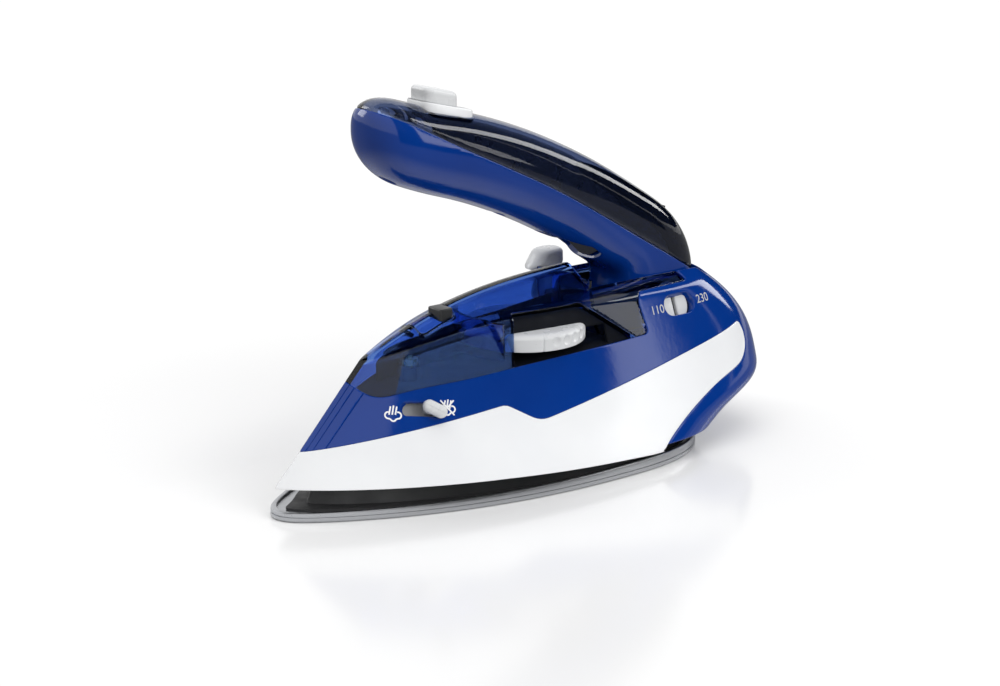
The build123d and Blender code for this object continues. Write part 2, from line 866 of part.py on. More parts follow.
# Filler lid cut from the roof, with a knuckle on a pin at its front edge
lid_pin_x = lid_front_x - 1.6
lid_pin_z = 52.4
with BuildPart() as filler_lid:
    add(tank_crown.part)
    add(lid_plug.part, mode=Mode.INTERSECT)
    with BuildSketch(Plane.XZ) as lid_knuckle:
        with Locations((lid_pin_x, lid_pin_z)):
            Circle(lid_knuckle_r)
            with Locations((2.0, 0.6)):
                Rectangle(4.0, 1.8)
    extrude(amount=lid_half_w / 2 - run_gap, both=True)
    with BuildSketch(Plane.XZ):
        with Locations((lid_pin_x, lid_pin_z)):
            Circle(lid_pin_r + shaft_gap)
    extrude(amount=lid_half_w, both=True, mode=Mode.SUBTRACT)
save(filler_lid.part.solids().sort_by(SortBy.VOLUME)[-1], "filler_lid")

with BuildPart() as lid_pin:
    with BuildSketch(Plane.XZ):
        with Locations((lid_pin_x, lid_pin_z)):
            Circle(lid_pin_r)
    extrude(amount=lid_half_w / 2 - run_gap, both=True)
save(lid_pin.part, "lid_pin")

# Temperature dial with rim dimples and an index groove, and its shaft
with BuildPart() as temperature_dial:
    with BuildSketch(Plane.XY.offset(dial_foot_z)):
        with Locations((dial_x, dial_y)):
            Circle(dial_r)
    extrude(amount=dial_h)
    chamfer(temperature_dial.edges().sort_by(Axis.Z)[-1], length=dial_chamfer)
    for turn in range(-150, 151, 20):
        angle = math.radians(turn - 90)
        centre = Vector(dial_x + dial_r * math.cos(angle), dial_y + dial_r * math.sin(angle))
        with BuildSketch(Plane.XY.offset(dial_top_z)):
            with Locations((centre.X, centre.Y)):
                Circle(dial_dimple_r)
        extrude(amount=-2.6, mode=Mode.SUBTRACT)
    with BuildSketch(Plane.XY.offset(dial_foot_z)):
        with Locations((dial_x, dial_y)):
            Circle(shaft_r - 0.6 + shaft_gap)
    extrude(amount=dial_h - 2, mode=Mode.SUBTRACT)
save(temperature_dial.part, "temperature_dial")

with BuildPart() as dial_shaft:
    thermostat_top_z = cover_top_z + thermostat_h
    with BuildSketch(Plane.XY.offset(thermostat_top_z)):
        with Locations((dial_x, dial_y)):
            Circle(shaft_r)
    extrude(amount=dial_foot_z - thermostat_top_z)
    with BuildSketch(Plane.XY.offset(dial_foot_z)):
        with Locations((dial_x, dial_y)):
            Circle(shaft_r - 0.6)
    extrude(amount=dial_h - 2)
save(dial_shaft.part, "dial_shaft")

# Steam slider: knob in the nose slot on a plate behind the wall
knob_rest = (slot_length - knob_length) / 2 - 0.6
with BuildPart() as steam_slider:
    with BuildSketch(slider_plane.offset(-wall - slider_plate_h)):
        with Locations((knob_rest, 0)):
            RectangleRounded(knob_length - 1, slot_height - 2 * run_gap, 0.8)
    extrude(amount=wall + slider_plate_h + knob_out)
    fillet(steam_slider.faces().sort_by_distance(slider_plane.offset(knob_out).origin)[0].edges(), radius=0.7)
save(steam_slider.part, "steam_slider")

with BuildPart() as slider_plate:
    plate_top = -wall - slider_plate_h
    with BuildSketch(slider_plane.offset(plate_top)):
        with Locations((knob_rest, 0)):
            Rectangle(knob_length + 4, slot_height + 4)
    extrude(amount=-slider_plate_h)
save(slider_plate.part, "slider_plate")

# Drip valve from the tank floor down to the chamber lid
valve_top_z = 42.0
with BuildPart() as drip_valve:
    with BuildSketch(Plane.XY.offset(cover_top_z)):
        with Locations((valve_x, 0)):
            Circle(valve_r)
            Circle(valve_bore_r, mode=Mode.SUBTRACT)
    extrude(amount=valve_top_z - cover_top_z)
save(drip_valve.part, "drip_valve")

with BuildPart() as valve_needle:
    with BuildSketch(Plane.XY.offset(cover_top_z + 1)):
        with Locations((valve_x, 0)):
            Circle(needle_r)
    extrude(amount=valve_top_z - cover_top_z + 3)
    with BuildSketch(Plane.XY.offset(valve_top_z + 0.5)):
        with Locations((valve_x, 0)):
            Circle(needle_head_r)
    extrude(amount=2)
save(valve_needle.part, "valve_needle")

# Voltage selector disc with a coin slot, and the switch below it
with BuildPart() as voltage_selector:
    with BuildSketch(selector_plane.offset(-selector_sink - selector_h)):
        Circle(selector_r)
    extrude(amount=selector_h)
    with BuildSketch(selector_plane.offset(-selector_sink)):
        Rectangle(2 * selector_r - 2, selector_slot)
    extrude(amount=-1.2, mode=Mode.SUBTRACT)
save(voltage_selector.part, "voltage_selector")

switch_size = (16.0, 8.0, 9.0)
switch_z = 31.5
switch_y = -19.8
with BuildPart() as voltage_switch:
    with BuildSketch(Plane.XY.offset(switch_z)):
        with Locations((selector_x, switch_y)):
            RectangleRounded(switch_size[0], switch_size[1], 1)
    extrude(amount=switch_size[2])
    with BuildSketch(Plane.XY.offset(switch_z + switch_size[2])):
        with Locations((selector_x, switch_y)):
            Circle(1.2)
    extrude(amount=1)
save(voltage_switch.part, "voltage_switch")

# Post that holds the voltage switch up from the chassis
with BuildPart() as switch_post:
    with BuildSketch(Plane.XY.offset(chassis_top_z)):
        with Locations((selector_x, switch_y)):
            Rectangle(8, 6)
    extrude(amount=switch_z - chassis_top_z)
save(switch_post.part, "switch_post")

# Hinge yoke, pin and bushes
with BuildPart() as hinge_yoke:
    with BuildSketch(Plane.XY.offset(chassis_top_z)):
        with Locations((pivot_x, 0)):
            Rectangle(yoke_x1 - yoke_x0, 2 * yoke_out)
    extrude(amount=2.5)
    for side in (1, -1):
        with BuildSketch(Plane.XZ.offset(side * yoke_in)):
            with Locations((pivot_x, pivot_z)):
                Circle(hub_r)
            with Locations((pivot_x, (pivot_z + chassis_top_z) / 2)):
                Rectangle(2 * hub_r, pivot_z - chassis_top_z)
        extrude(amount=side * yoke_wall)
    with BuildSketch(Plane.XZ):
        with Locations((pivot_x, pivot_z)):
            Circle(pin_r + shaft_gap)
    extrude(amount=40, both=True, mode=Mode.SUBTRACT)
    with BuildSketch(Plane.XY.offset(chassis_top_z)):
        with Locations(*yoke_screws_at):
            Circle(screw_r + screw_gap)
    extrude(amount=2.5, mode=Mode.SUBTRACT)
save(hinge_yoke.part, "hinge_yoke")

with BuildPart() as yoke_screws:
    for x, y in yoke_screws_at:
        add(screw(Plane((x, y, chassis_top_z + 2.5)), 4.5))
save(yoke_screws.part, "yoke_screws")

with BuildPart() as hinge_pin:
    with BuildSketch(Plane.XZ):
        with Locations((pivot_x, pivot_z)):
            Circle(pin_r)
            Circle(pin_bore_r, mode=Mode.SUBTRACT)
    extrude(amount=yoke_out + 0.6, both=True)
save(hinge_pin.part, "hinge_pin")

with BuildPart() as hinge_bushes:
    for side in (1, -1):
        with BuildSketch(Plane.XZ.offset(side * (barrel_half_w - 5))):
            with Locations((pivot_x, pivot_z)):
                Circle(bush_r)
                Circle(pin_r + shaft_gap, mode=Mode.SUBTRACT)
        extrude(amount=side * 5)
save(hinge_bushes.part, "hinge_bushes")

# Terminal block, thermal fuse, pilot lamp and leads on the chassis
block_x = 92.0
block_size = (14.0, 24.0, 9.0)
with BuildPart() as terminal_block:
    with BuildSketch(Plane.XY.offset(chassis_top_z)):
        with Locations((block_x, 0)):
            Rectangle(block_size[0], block_size[1])
    extrude(amount=block_size[2])
    with BuildSketch(Plane.XY.offset(chassis_top_z + block_size[2])):
        with GridLocations(8, 7.5, 1, 3):
            with Locations((block_x, 0)):
                Circle(2)
    extrude(amount=-4, mode=Mode.SUBTRACT)
save(terminal_block.part, "terminal_block")

fuse_at = (24.0, 20.0)
with BuildPart() as thermal_fuse:
    with BuildSketch(Plane.YZ.offset(fuse_at[0])):
        with Locations((fuse_at[1], chassis_top_z + 2)):
            Circle(2)
            with Locations((0, -1)):
                Rectangle(2.4, 2)
    extrude(amount=8, both=True)
save(thermal_fuse.part, "thermal_fuse")

lamp_at = (44.0, -14.0)
with BuildPart() as pilot_lamp:
    with BuildSketch(Plane.XY.offset(chassis_top_z)):
        with Locations(lamp_at):
            Circle(2.6)
    extrude(amount=9)
    fillet(pilot_lamp.edges().sort_by(Axis.Z)[-1], radius=2)
save(pilot_lamp.part, "pilot_lamp")

lead_r = 1.1
lead_end_z = heater_z + heater_r + heater_post_h + lead_r
with BuildPart() as body_leads:
    for side in (1, -1):
        post = (post_x, side * heater_end[1], lead_end_z)
        middle = (pivot_x, side * 27.5, lead_end_z + 1)
        bend = (pivot_x + 20, side * 23.5, lead_end_z + 1)
        add(tube((post, middle, bend, (block_x, side * (block_size[1] / 2 + 0.3), lead_end_z)), lead_r, 0))
save(body_leads.part, "body_leads")

# Fold release button, its spring and lock tongue
with BuildPart() as release_button:
    with BuildSketch(Plane.XY.offset(release_foot_z)):
        with Locations((release_x, release_y)):
            Circle(release_neck)
    extrude(amount=release_neck_z + 4 - release_foot_z)
    with BuildSketch(Plane.XY.offset(release_neck_z + 4)):
        with Locations((release_x, release_y)):
            Circle(release_neck)
    with BuildSketch(Plane.XY.offset(release_top_z + 3)):
        with Locations((release_x + 1, release_y)):
            Ellipse(release_length / 2, release_width / 2)
    loft()
    with BuildSketch(Plane.XZ.offset(-release_y)):
        with BuildLine():
            Polyline(
                (release_x - 20, release_neck_z + 4),
                (release_x - 8, release_neck_z + 6),
                (release_x + 4, release_top_z),
                (release_x + 20, release_top_z - 0.4),
                (release_x + 20, 90),
                (release_x - 20, 90),
                close=True,
            )
        make_face()
    extrude(amount=20, both=True, mode=Mode.SUBTRACT)
save(release_button.part, "release_button")

spring_foot_z = 44.2
with BuildPart() as release_spring:
    with BuildSketch(Plane.XY.offset(spring_foot_z)):
        with Locations((release_x, release_y)):
            Circle(3.2)
            Circle(2.2, mode=Mode.SUBTRACT)
    extrude(amount=release_foot_z - spring_foot_z)
save(release_spring.part, "release_spring")

tongue_y0 = barrel_half_w + run_gap
with BuildPart() as lock_tongue:
    with BuildSketch(Plane.XY.offset(release_foot_z + 0.5)):
        with Locations((release_x, (tongue_y0 + release_y - release_neck) / 2)):
            Rectangle(3.6, release_y - release_neck - tongue_y0)
    extrude(amount=3)
save(lock_tongue.part, "lock_tongue")

# Handle halves: blue lower shell with hub, smoky top cover with the cord collar
def fold_back(x, z):
    """Point of the folded tank ridge seen in the open handle's frame."""
    angle = math.radians(-fold_angle)
    dx = x - pivot_x
    dz = z - pivot_z
    return (
        pivot_x + dx * math.cos(angle) - dz * math.sin(angle),
        pivot_z + dx * math.sin(angle) + dz * math.cos(angle),
    )


def channel_solid(extra):
    """Groove under the handle root that swallows the tank ridge when folded."""
    ridge = [fold_back(x, 65.9 + channel_gap + extra) for x in (-10.0, 20.0, 46.0)]
    with BuildPart() as channel:
        with BuildSketch(Plane.XZ):
            with BuildLine():
                Polyline(*ridge, (ridge[2][0], 40), (ridge[0][0], 40), close=True)
            make_face()
        extrude(amount=channel_half_w + extra, both=True)
    return channel.part


burst_plane = Plane(
    (burst_x, 0, burst_z),
    x_dir=(math.cos(math.radians(burst_lean)), 0, -math.sin(math.radians(burst_lean))),
    z_dir=(math.sin(math.radians(burst_lean)), 0, math.cos(math.radians(burst_lean))),
)
pump_plane = Plane((burst_x, 0, burst_z))
inlet_plane = Plane(
    (inlet_x, 0, inlet_z),
    x_dir=(math.cos(math.radians(inlet_lean)), 0, -math.sin(math.radians(inlet_lean))),
    z_dir=(math.sin(math.radians(inlet_lean)), 0, math.cos(math.radians(inlet_lean))),
)


def under_plane(x):
    """Plane on the handle's underside at x, facing out."""
    slope = (grip_middle(x + 1) - grip_half_height(x + 1)) - (grip_middle(x) - grip_half_height(x))
    return Plane(
        (x, 0, grip_middle(x) - grip_half_height(x) * tip_share(x)), x_dir=(0, 1, 0), z_dir=(slope, 0, -1)
    )


handle_screws_at = (-42.0, 4.0)
screw_sink = 4.0
post_r = screw_head_r + 1.6
frame_drop = 3.0
frame_h = 4.0
with BuildPart() as grip_void:
    add(grip_solid(grip_wall))
    add(channel_solid(grip_wall), mode=Mode.SUBTRACT)
    with BuildSketch(Plane.XZ):
        with Locations((pivot_x, pivot_z)):
            Circle(hub_r)
    extrude(amount=barrel_half_w, both=True, mode=Mode.SUBTRACT)

with BuildPart() as handle_shell:
    add(grip_outer)
    add(grip_void.part, mode=Mode.SUBTRACT)
    add(channel_solid(0), mode=Mode.SUBTRACT)
    with BuildSketch(Plane.XZ):
        with Locations((pivot_x, pivot_z)):
            Circle(bush_r + shaft_gap)
    extrude(amount=40, both=True, mode=Mode.SUBTRACT)

with BuildPart() as screw_posts:
    for x in handle_screws_at:
        with BuildSketch(under_plane(x).offset(3)):
            Circle(post_r)
        extrude(amount=-30)
    add(above_split(-frame_drop - frame_h), mode=Mode.SUBTRACT)
    add(grip_outer, mode=Mode.INTERSECT)

clamp_z = 66.5
with BuildPart() as handle_lower:
    add(handle_shell.part)
    add(above_split(0), mode=Mode.SUBTRACT)
    add(screw_posts.part)
    with BuildSketch(Plane.XY.offset(clamp_z - 2)):
        with Locations((pivot_x - 3, 0)):
            Rectangle(14, 2 * barrel_half_w - 3)
        with Locations((pivot_x + 4, 0)):
            Rectangle(12, 2 * (barrel_half_w - grip_wall - run_gap))
    extrude(amount=2)
    for x in handle_screws_at:
        with BuildSketch(under_plane(x).offset(3)):
            Circle(screw_head_r + screw_gap)
        extrude(amount=-3 - screw_sink, mode=Mode.SUBTRACT)
        with BuildSketch(under_plane(x)):
            Circle(screw_r + screw_gap)
        extrude(amount=-20, mode=Mode.SUBTRACT)
    for side in (1, -1):
        with BuildSketch(Plane.XY.offset(clamp_z)):
            with Locations((pivot_x + 2, side * 6)):
                Circle(screw_r + screw_gap)
        extrude(amount=-2, mode=Mode.SUBTRACT)
save(handle_lower.part.solids().sort_by(SortBy.VOLUME)[-1], "handle_lower_shell")

with BuildPart() as handle_cover:
    add(handle_shell.part)
    add(above_split(0), mode=Mode.INTERSECT)
    with BuildSketch(inlet_plane):
        Circle(collar_r)
    extrude(amount=collar_h)
    with BuildSketch(inlet_plane.offset(-12)):
        Circle(gland_r + seat_gap)
    extrude(amount=40, mode=Mode.SUBTRACT)
    add(grip_void.part, mode=Mode.SUBTRACT)
    with BuildSketch(pump_plane.offset(-9)):
        RectangleRounded(burst_length + 2 * run_gap, burst_width + 2 * run_gap, 2)
    extrude(amount=30, mode=Mode.SUBTRACT)
save(handle_cover.part.solids().sort_by(SortBy.VOLUME)[-1], "handle_top_cover")

# Ribbed inner frame under the smoky cover
rib_stations = (-46.0, -42.0, -38.0)
rib_h = 1.6
frame_rear_x = 8.0
with BuildPart() as grip_fit:
    add(grip_solid(grip_wall + seat_gap))
with BuildPart() as frame_span:
    with BuildSketch(Plane.XY.offset(60)):
        with Locations(((frame_rear_x - 48) / 2, 0)):
            Rectangle(frame_rear_x + 48, 40)
    extrude(amount=90)
with BuildPart() as rib_span:
    with BuildSketch(Plane.XY.offset(60)):
        for x in rib_stations:
            with Locations((x, 0)):
                Rectangle(rib_h, 40)
        with Locations((-2.0, 0), (6.0, 0)):
            Rectangle(rib_h, 40)
    extrude(amount=90)
    add(above_split(-frame_drop - frame_h / 2), mode=Mode.INTERSECT)
tube_r = 1.8
tube_y = 6.3
tube_path = [(x, tube_y, grip_middle(x) - grip_half_height(x) + 7.6) for x in (-14.0, 2.0)]
tube_path += [(20.0, tube_y, 91.5), (34.0, tube_y, 87.0), (46.0, tube_y, 81.0)]
with BuildPart() as handle_frame:
    add(above_split(-frame_drop - frame_h))
    add(above_split(-frame_drop), mode=Mode.SUBTRACT)
    add(frame_span.part, mode=Mode.INTERSECT)
    add(rib_span.part)
    add(grip_fit.part, mode=Mode.INTERSECT)
    with BuildSketch(pump_plane.offset(-40)):
        Circle(pump_r + seat_gap)
    extrude(amount=60, mode=Mode.SUBTRACT)
    for x in handle_screws_at:
        with BuildSketch(under_plane(x)):
            Circle(screw_r + screw_gap)
        extrude(amount=-40, mode=Mode.SUBTRACT)
    add(tube(tube_path, tube_r + seat_gap, 0), mode=Mode.SUBTRACT)
save(handle_frame.part.solids().sort_by(SortBy.VOLUME)[-1], "handle_frame")

with BuildPart() as handle_screws:
    for x in handle_screws_at:
        add(screw(under_plane(x).offset(-screw_sink), 11.0))
save(handle_screws.part, "handle_screws")

# Burst button in its bezel, with the pump below
with BuildPart() as button_bezel:
    with BuildSketch(burst_plane.offset(-6)):
        with Locations((bezel_back, 0)):
            RectangleRounded(bezel_length, bezel_width, 4)
    extrude(amount=6 + bezel_h)
    with BuildSketch(pump_plane.offset(-9)):
        RectangleRounded(burst_length + 2 * run_gap, burst_width + 2 * run_gap, 2)
    extrude(amount=30, mode=Mode.SUBTRACT)
    add(grip_outer, mode=Mode.SUBTRACT)
save(button_bezel.part.solids().sort_by(SortBy.VOLUME)[-1], "button_bezel")

with BuildPart() as burst_button:
    with BuildSketch(pump_plane.offset(-button_foot)):
        RectangleRounded(burst_length, burst_width, 2 - run_gap)
    extrude(amount=button_foot + burst_out + 8)
    split(bisect_by=burst_plane.offset(burst_out), keep=Keep.BOTTOM)
    fillet(burst_button.faces().sort_by_distance(burst_plane.offset(burst_out).origin)[0].edges(), radius=1.2)
save(burst_button.part, "burst_button")

pump_foot = pump_top + pump_length
with BuildPart() as pump_body:
    with BuildSketch(pump_plane.offset(-pump_foot)):
        Circle(pump_r)
    extrude(amount=pump_length)
    with BuildSketch(pump_plane.offset(-pump_foot + pump_wall)):
        Circle(pump_r - pump_wall)
    extrude(amount=pump_length, mode=Mode.SUBTRACT)
save(pump_body.part, "pump_body")

head_top = 14.0
head_h = 2.5
with BuildPart() as pump_piston:
    with BuildSketch(pump_plane.offset(-button_foot)):
        Circle(piston_r)
    extrude(amount=button_foot - head_top)
    with BuildSketch(pump_plane.offset(-head_top)):
        Circle(pump_r - pump_wall - run_gap)
    extrude(amount=-head_h)
save(pump_piston.part, "pump_piston")

with BuildPart() as pump_spring:
    with BuildSketch(pump_plane.offset(-pump_foot + pump_wall)):
        Circle(4.4)
        Circle(3.4, mode=Mode.SUBTRACT)
    extrude(amount=pump_foot - pump_wall - head_top - head_h)
save(pump_spring.part, "pump_spring")

# Water tube, cord gland, clamp and leads in the handle
save(tube(tube_path, tube_r, 1.1), "handle_tube")

with BuildPart() as cord_gland:
    with BuildSketch(inlet_plane.offset(-1)):
        Circle(gland_r)
    extrude(amount=collar_h)
    with BuildSketch(inlet_plane.offset(-5)):
        Circle(cord_bore_r)
    extrude(amount=40, mode=Mode.SUBTRACT)
save(cord_gland.part, "cord_gland")

with BuildPart() as cord_clamp:
    with BuildSketch(Plane.XY.offset(clamp_z)):
        with Locations((pivot_x + 2, 0)):
            RectangleRounded(7, 17, 1)
    extrude(amount=5)
    with BuildSketch(Plane.YZ.offset(pivot_x)):
        with Locations((0, clamp_z)):
            Circle(2.8)
    extrude(amount=20, both=True, mode=Mode.SUBTRACT)
    for side in (1, -1):
        with BuildSketch(Plane.XY.offset(clamp_z)):
            with Locations((pivot_x + 2, side * 6)):
                Circle(screw_r + screw_gap)
        extrude(amount=5, mode=Mode.SUBTRACT)
save(cord_clamp.part, "cord_clamp")

with BuildPart() as clamp_screws:
    for side in (1, -1):
        add(screw(Plane((pivot_x + 2, side * 6, clamp_z + 5)), 6.5))
save(clamp_screws.part, "clamp_screws")
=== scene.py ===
"""Travel steam iron with a folding handle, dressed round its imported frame.

Sizes are in millimetres in the frame's axes: nose towards -X, +Z up, sole face at z 0.
"""

import math

import bpy
import numpy as np
from mathutils import Matrix, Vector
from mathutils.geometry import delaunay_2d_cdt


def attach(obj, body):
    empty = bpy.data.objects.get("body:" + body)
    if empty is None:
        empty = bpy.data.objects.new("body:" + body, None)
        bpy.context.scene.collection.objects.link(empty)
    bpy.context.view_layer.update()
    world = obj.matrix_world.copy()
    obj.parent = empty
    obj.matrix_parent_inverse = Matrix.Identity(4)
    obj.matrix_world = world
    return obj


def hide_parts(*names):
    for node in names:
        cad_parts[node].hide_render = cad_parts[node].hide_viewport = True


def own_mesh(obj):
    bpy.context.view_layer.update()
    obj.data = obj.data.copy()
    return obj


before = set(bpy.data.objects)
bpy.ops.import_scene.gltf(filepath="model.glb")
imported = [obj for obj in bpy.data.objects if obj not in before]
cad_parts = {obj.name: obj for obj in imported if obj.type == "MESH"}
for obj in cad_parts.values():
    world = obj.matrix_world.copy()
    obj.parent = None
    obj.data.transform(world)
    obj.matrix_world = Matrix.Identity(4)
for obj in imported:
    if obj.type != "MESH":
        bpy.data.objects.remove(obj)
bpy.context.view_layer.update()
MM = 0.001

# View of the photograph
CAMERA_AT = (-546.95, -658.54, 280.99)
CAMERA_BACK = (-0.61941, -0.73818, 0.26724)
LENS = 93.96

# Boat outlines
WIDEST = 0.68
NOSE_POWER = 2.2
NOSE_BLEND = 0.82
BODY_HEEL = (4.2, 0.38)
SOLE_HEEL = (2.8, 0.48)

# Body walls
NOSE_AT = (-89.0, 10.5)
NOSE_LEAN = 0.9385
BODY_HALF = 40.0
BODY_FOOT = 8.0
SIDE_LEAN = 0.39
HEEL = ((0, 72), (8, 86), (13, 96), (19, 110), (26, 113.5), (34, 112.5), (42, 109), (50, 102),
        (58, 91.5), (67, 78))
WALL = 2.2
# Wall thickness as it counts along the leaning nose, the heel and down from the roof
NOSE_INSET = 1.5
HEEL_INSET = 1.4
ROOF_INSET = 1.12
LOWEST = 5.5
RIDGE = ((-62, 44), (-40, 53.2), (-16, 61), (18, 65.6), (84, 65.8))
ROOF_FALL = 0.5
RIDGE_ROUND = 1.4
ROOF_SEARCH = (30.0, 67.0)
SHOULDER = 2.0
EDGE = 0.32
# Distance that counts as out of reach, and the points per millimetre that a weld tells apart
FAR = 99.0
WELD = 2000

# Side-view joint lines of the mouldings
FRONT = -130.0
BREAK_NOSE = (-100.0, 18.3)
BREAK_PEAK = (-12.6, 29.9)
BREAK_LOW = (-1.5, 23.2)
BREAK_REAR = (96.4, 40.2)
BREAK_ROUND = (1.6, 3.6)
BAND = ((97.7, 36.5), (97.2, 32.5), (94.8, 29.2), (91.9, 27.2), (87.2, 25.6), (79, 23.3), (69.9, 19.8),
        (61, 15.6), (54.2, 11.8), (47.8, 7.6), (45, 5.2))
FOOT = ((-20, 8.2), (-100, 10.9), (FRONT, 11.9))
TANK_SILL = ((-62, 44), (-57.6, 38.5), (-54.5, 36.7), (-46, 37), (-26, 39), (-6.3, 40.8), (20, 42.4),
             (45.5, 43.4))
STRIP = ((50.8, 43.6), (49.6, 54.2), (51.2, 57), (54.5, 57.4), (75.5, 57.2), (74.2, 62), (73, 90))
STRIP_ROUND = (1.6, 1.2)
# Where the housing's foot steps down, and its height before and behind that
HOUSING_FOOT = (20, 11.0, 7.4)
# Fine grooves over the nose: their distance from the middle, their end and what counts as off them
NOSE_LINES = (1.3, 2.7, 5.0)
NOSE_LINE_END = -56
OFF_LINE = 9.0

# Dial and its pocket
DIAL = (12.0, -4.5)
DIAL_R = 21.4
DIAL_FOOT = 44.8
DIAL_TOP = 50.6
POCKET = ((-2.0, 57.2), (25.0, 57.3), (46.2, 42.4), (46.2, 38), (-6.0, 38), (-6.0, 41))
POCKET_PLATE = ((-4.5, 59), (26, 59), (49.5, 43), (49.5, 40.5), (35, 40.5), (35, 51.3), (-9, 51.3))
POCKET_DEEP = 3.0
BAFFLE = ((-43.0, 46.6), (-35.0, 47.9), (-25.6, 48.6), (-9.2, 50.3), (10.6, 51.5), (31.0, 53.4),
          (33.5, 53.6))
DECK = (-56.5, 50.0)
DECK_DROP = 0.6
DECK_THICK = 0.9
DECK_GAP = 1.2
DECK_ROWS = 25
SHAFT_HOLE = 3.8

# Handle
PIVOT = (64.0, 50.0)
DRUM = (64.0, 58.0)
DRUM_R = 26.0
DRUM_GAP = 0.8
FOLD = 17.0
SLOT_HALF = 13.8
SADDLE = (42.0, 56.6)
SADDLE_WALL = 0.7
GRIP_HALF = 13.2
GRIP_TIP = -52.8
TIP_ROUND = 16.0
TIP_POWER = 2.4
GRIP_WALL = 2.4
RING_POINTS = 96
# Middle line and half height of the grip: height, slope and bow from one place, and the tip's lift
GRIP_FROM = 29.0
GRIP_LINE = (92.85, 0.5155, 0.0025)
TIP_LIFT = (22.0, 0.0055)
GRIP_DEPTH = (17.1, 0.0428)
GRIP_POWER = 2.3
ROOT_POWER = 0.9
SPLIT = ((-62, 135), (-41.6, 125.9), (-22.7, 116.5), (20.2, 95.7), (59.7, 73), (100, 50))


def natural(at, values):
    """Natural cubic through values at rising places."""
    at, values = np.array(at, float), np.array(values, float)
    gap, count = np.diff(at), len(at)
    matrix, right = np.eye(count), np.zeros(count)
    for i in range(1, count - 1):
        matrix[i, i - 1:i + 2] = gap[i - 1], 2 * (gap[i - 1] + gap[i]), gap[i]
        right[i] = 6 * ((values[i + 1] - values[i]) / gap[i] - (values[i] - values[i - 1]) / gap[i - 1])
    bend = np.linalg.solve(matrix, right)

    def line(x):
        x = np.clip(np.asarray(x, float), at[0], at[-1])
        i = np.clip(np.searchsorted(at, x) - 1, 0, count - 2)
        ahead, behind = at[i + 1] - x, x - at[i]
        cubic = (bend[i] * ahead**3 + bend[i + 1] * behind**3) / (6 * gap[i])
        return cubic + (values[i] / gap[i] - bend[i] * gap[i] / 6) * ahead + (
            values[i + 1] / gap[i] - bend[i + 1] * gap[i] / 6) * behind

    return line


def run_along(points):
    """Distance run along a line at each of its points."""
    return np.concatenate([[0], np.cumsum(np.linalg.norm(np.diff(points, axis=0), axis=1))])


def curve_through(points, steps=10):
    """Close-set points on a smooth curve through the given ones."""
    points = np.array(points, float)
    run = run_along(points)
    at = np.linspace(0, run[-1], steps * (len(points) - 1) + 1)
    return np.stack([natural(run, points[:, k])(at) for k in range(points.shape[1])], 1)


def bend(start, corner, end, t):
    """Points of a curve that leaves its start and nears its end along a corner's sides."""
    return (1 - t) ** 2 * start + 2 * t * (1 - t) * corner + t**2 * end


def rounded(before, corner, after, radius, steps=6):
    """Points of a corner rounded by about the radius."""
    before, corner, after = (np.array(p, float) for p in (before, corner, after))
    start = corner + (before - corner) / np.linalg.norm(before - corner) * radius
    end = corner + (after - corner) / np.linalg.norm(after - corner) * radius
    return bend(start, corner, end, np.linspace(0, 1, steps)[:, None])


heel_line = natural(*zip(*HEEL))
ridge_line = natural(*zip(*RIDGE))


def boat_share(share, heel):
    """Half-width share of a boat outline at a share of its length."""
    share = np.clip(share, 0, 1)
    front = (1 - np.clip(1 - share / WIDEST, 0, 1) ** NOSE_POWER) ** NOSE_BLEND
    back = (1 - np.clip((share - WIDEST) / (1 - WIDEST), 0, 1) ** heel[0]) ** heel[1]
    return np.where(share < WIDEST, front, back)


def even_shares(count, length, half, heel):
    """Length shares that lie evenly along one side of a boat outline, closer at the nose."""
    share = (1 - np.cos(np.linspace(0, math.pi, 6001))) / 2
    side = np.stack([share * length, half * boat_share(share, heel)], 1)
    run = run_along(side)
    even = np.interp(np.linspace(0, run[-1], count), run, share)
    nose = even[1] * (np.arange(1, 6) / 6) ** 2
    return np.concatenate([even[:1], nose, even[1:]])


def wall_point(share, z, inset=0.0):
    """Point (x, half width) of the body wall at a length share and height."""
    nose = NOSE_AT[0] + (z - NOSE_AT[1]) * NOSE_LEAN + NOSE_INSET * inset
    heel = heel_line(z) - HEEL_INSET * inset
    half = BODY_HALF - (z - BODY_FOOT) * SIDE_LEAN - inset
    return nose + share * (heel - nose), half * boat_share(share, BODY_HEEL)


def roof(x, y):
    """Height of the gabled roof."""
    return ridge_line(x) - ROOF_FALL * (np.sqrt(y * y + RIDGE_ROUND**2) - RIDGE_ROUND)


def wall_y(x, z):
    """Half width of the body wall at a side-view point."""
    nose, _ = wall_point(0.0, z)
    heel, _ = wall_point(1.0, z)
    return wall_point((x - nose) / (heel - nose), z)[1]


def body_column(share, inset, wall_rows=52, turn_rows=6, roof_rows=16):
    """Points up the wall, round the shoulder and over the roof to the ridge."""
    drop = ROOF_INSET * inset
    low, high = ROOF_SEARCH
    for _ in range(40):
        z = (low + high) / 2
        x, y = wall_point(share, z, inset)
        low, high = (z, high) if z < roof(x, y) - drop else (low, z)
    turn = min(SHOULDER, 0.45 * float(y))
    start = np.array([*wall_point(share, z - turn, inset), z - turn])
    crest = np.array([x, y, z])
    end = np.array([x, y - turn, roof(x, y - turn) - drop])
    up = np.linspace(LOWEST, z - turn, wall_rows)
    rows = [np.stack([*wall_point(share, up, inset), up], 1)]
    t = np.linspace(0, 1, turn_rows + 1)[1:, None]
    rows.append(bend(start, crest, end, t))
    across = np.linspace(y - turn, 0, roof_rows + 1)[1:]
    rows.append(np.stack([np.full(roof_rows, x), across, roof(x, across) - drop], 1))
    return np.concatenate(rows) * (1, -1, 1)


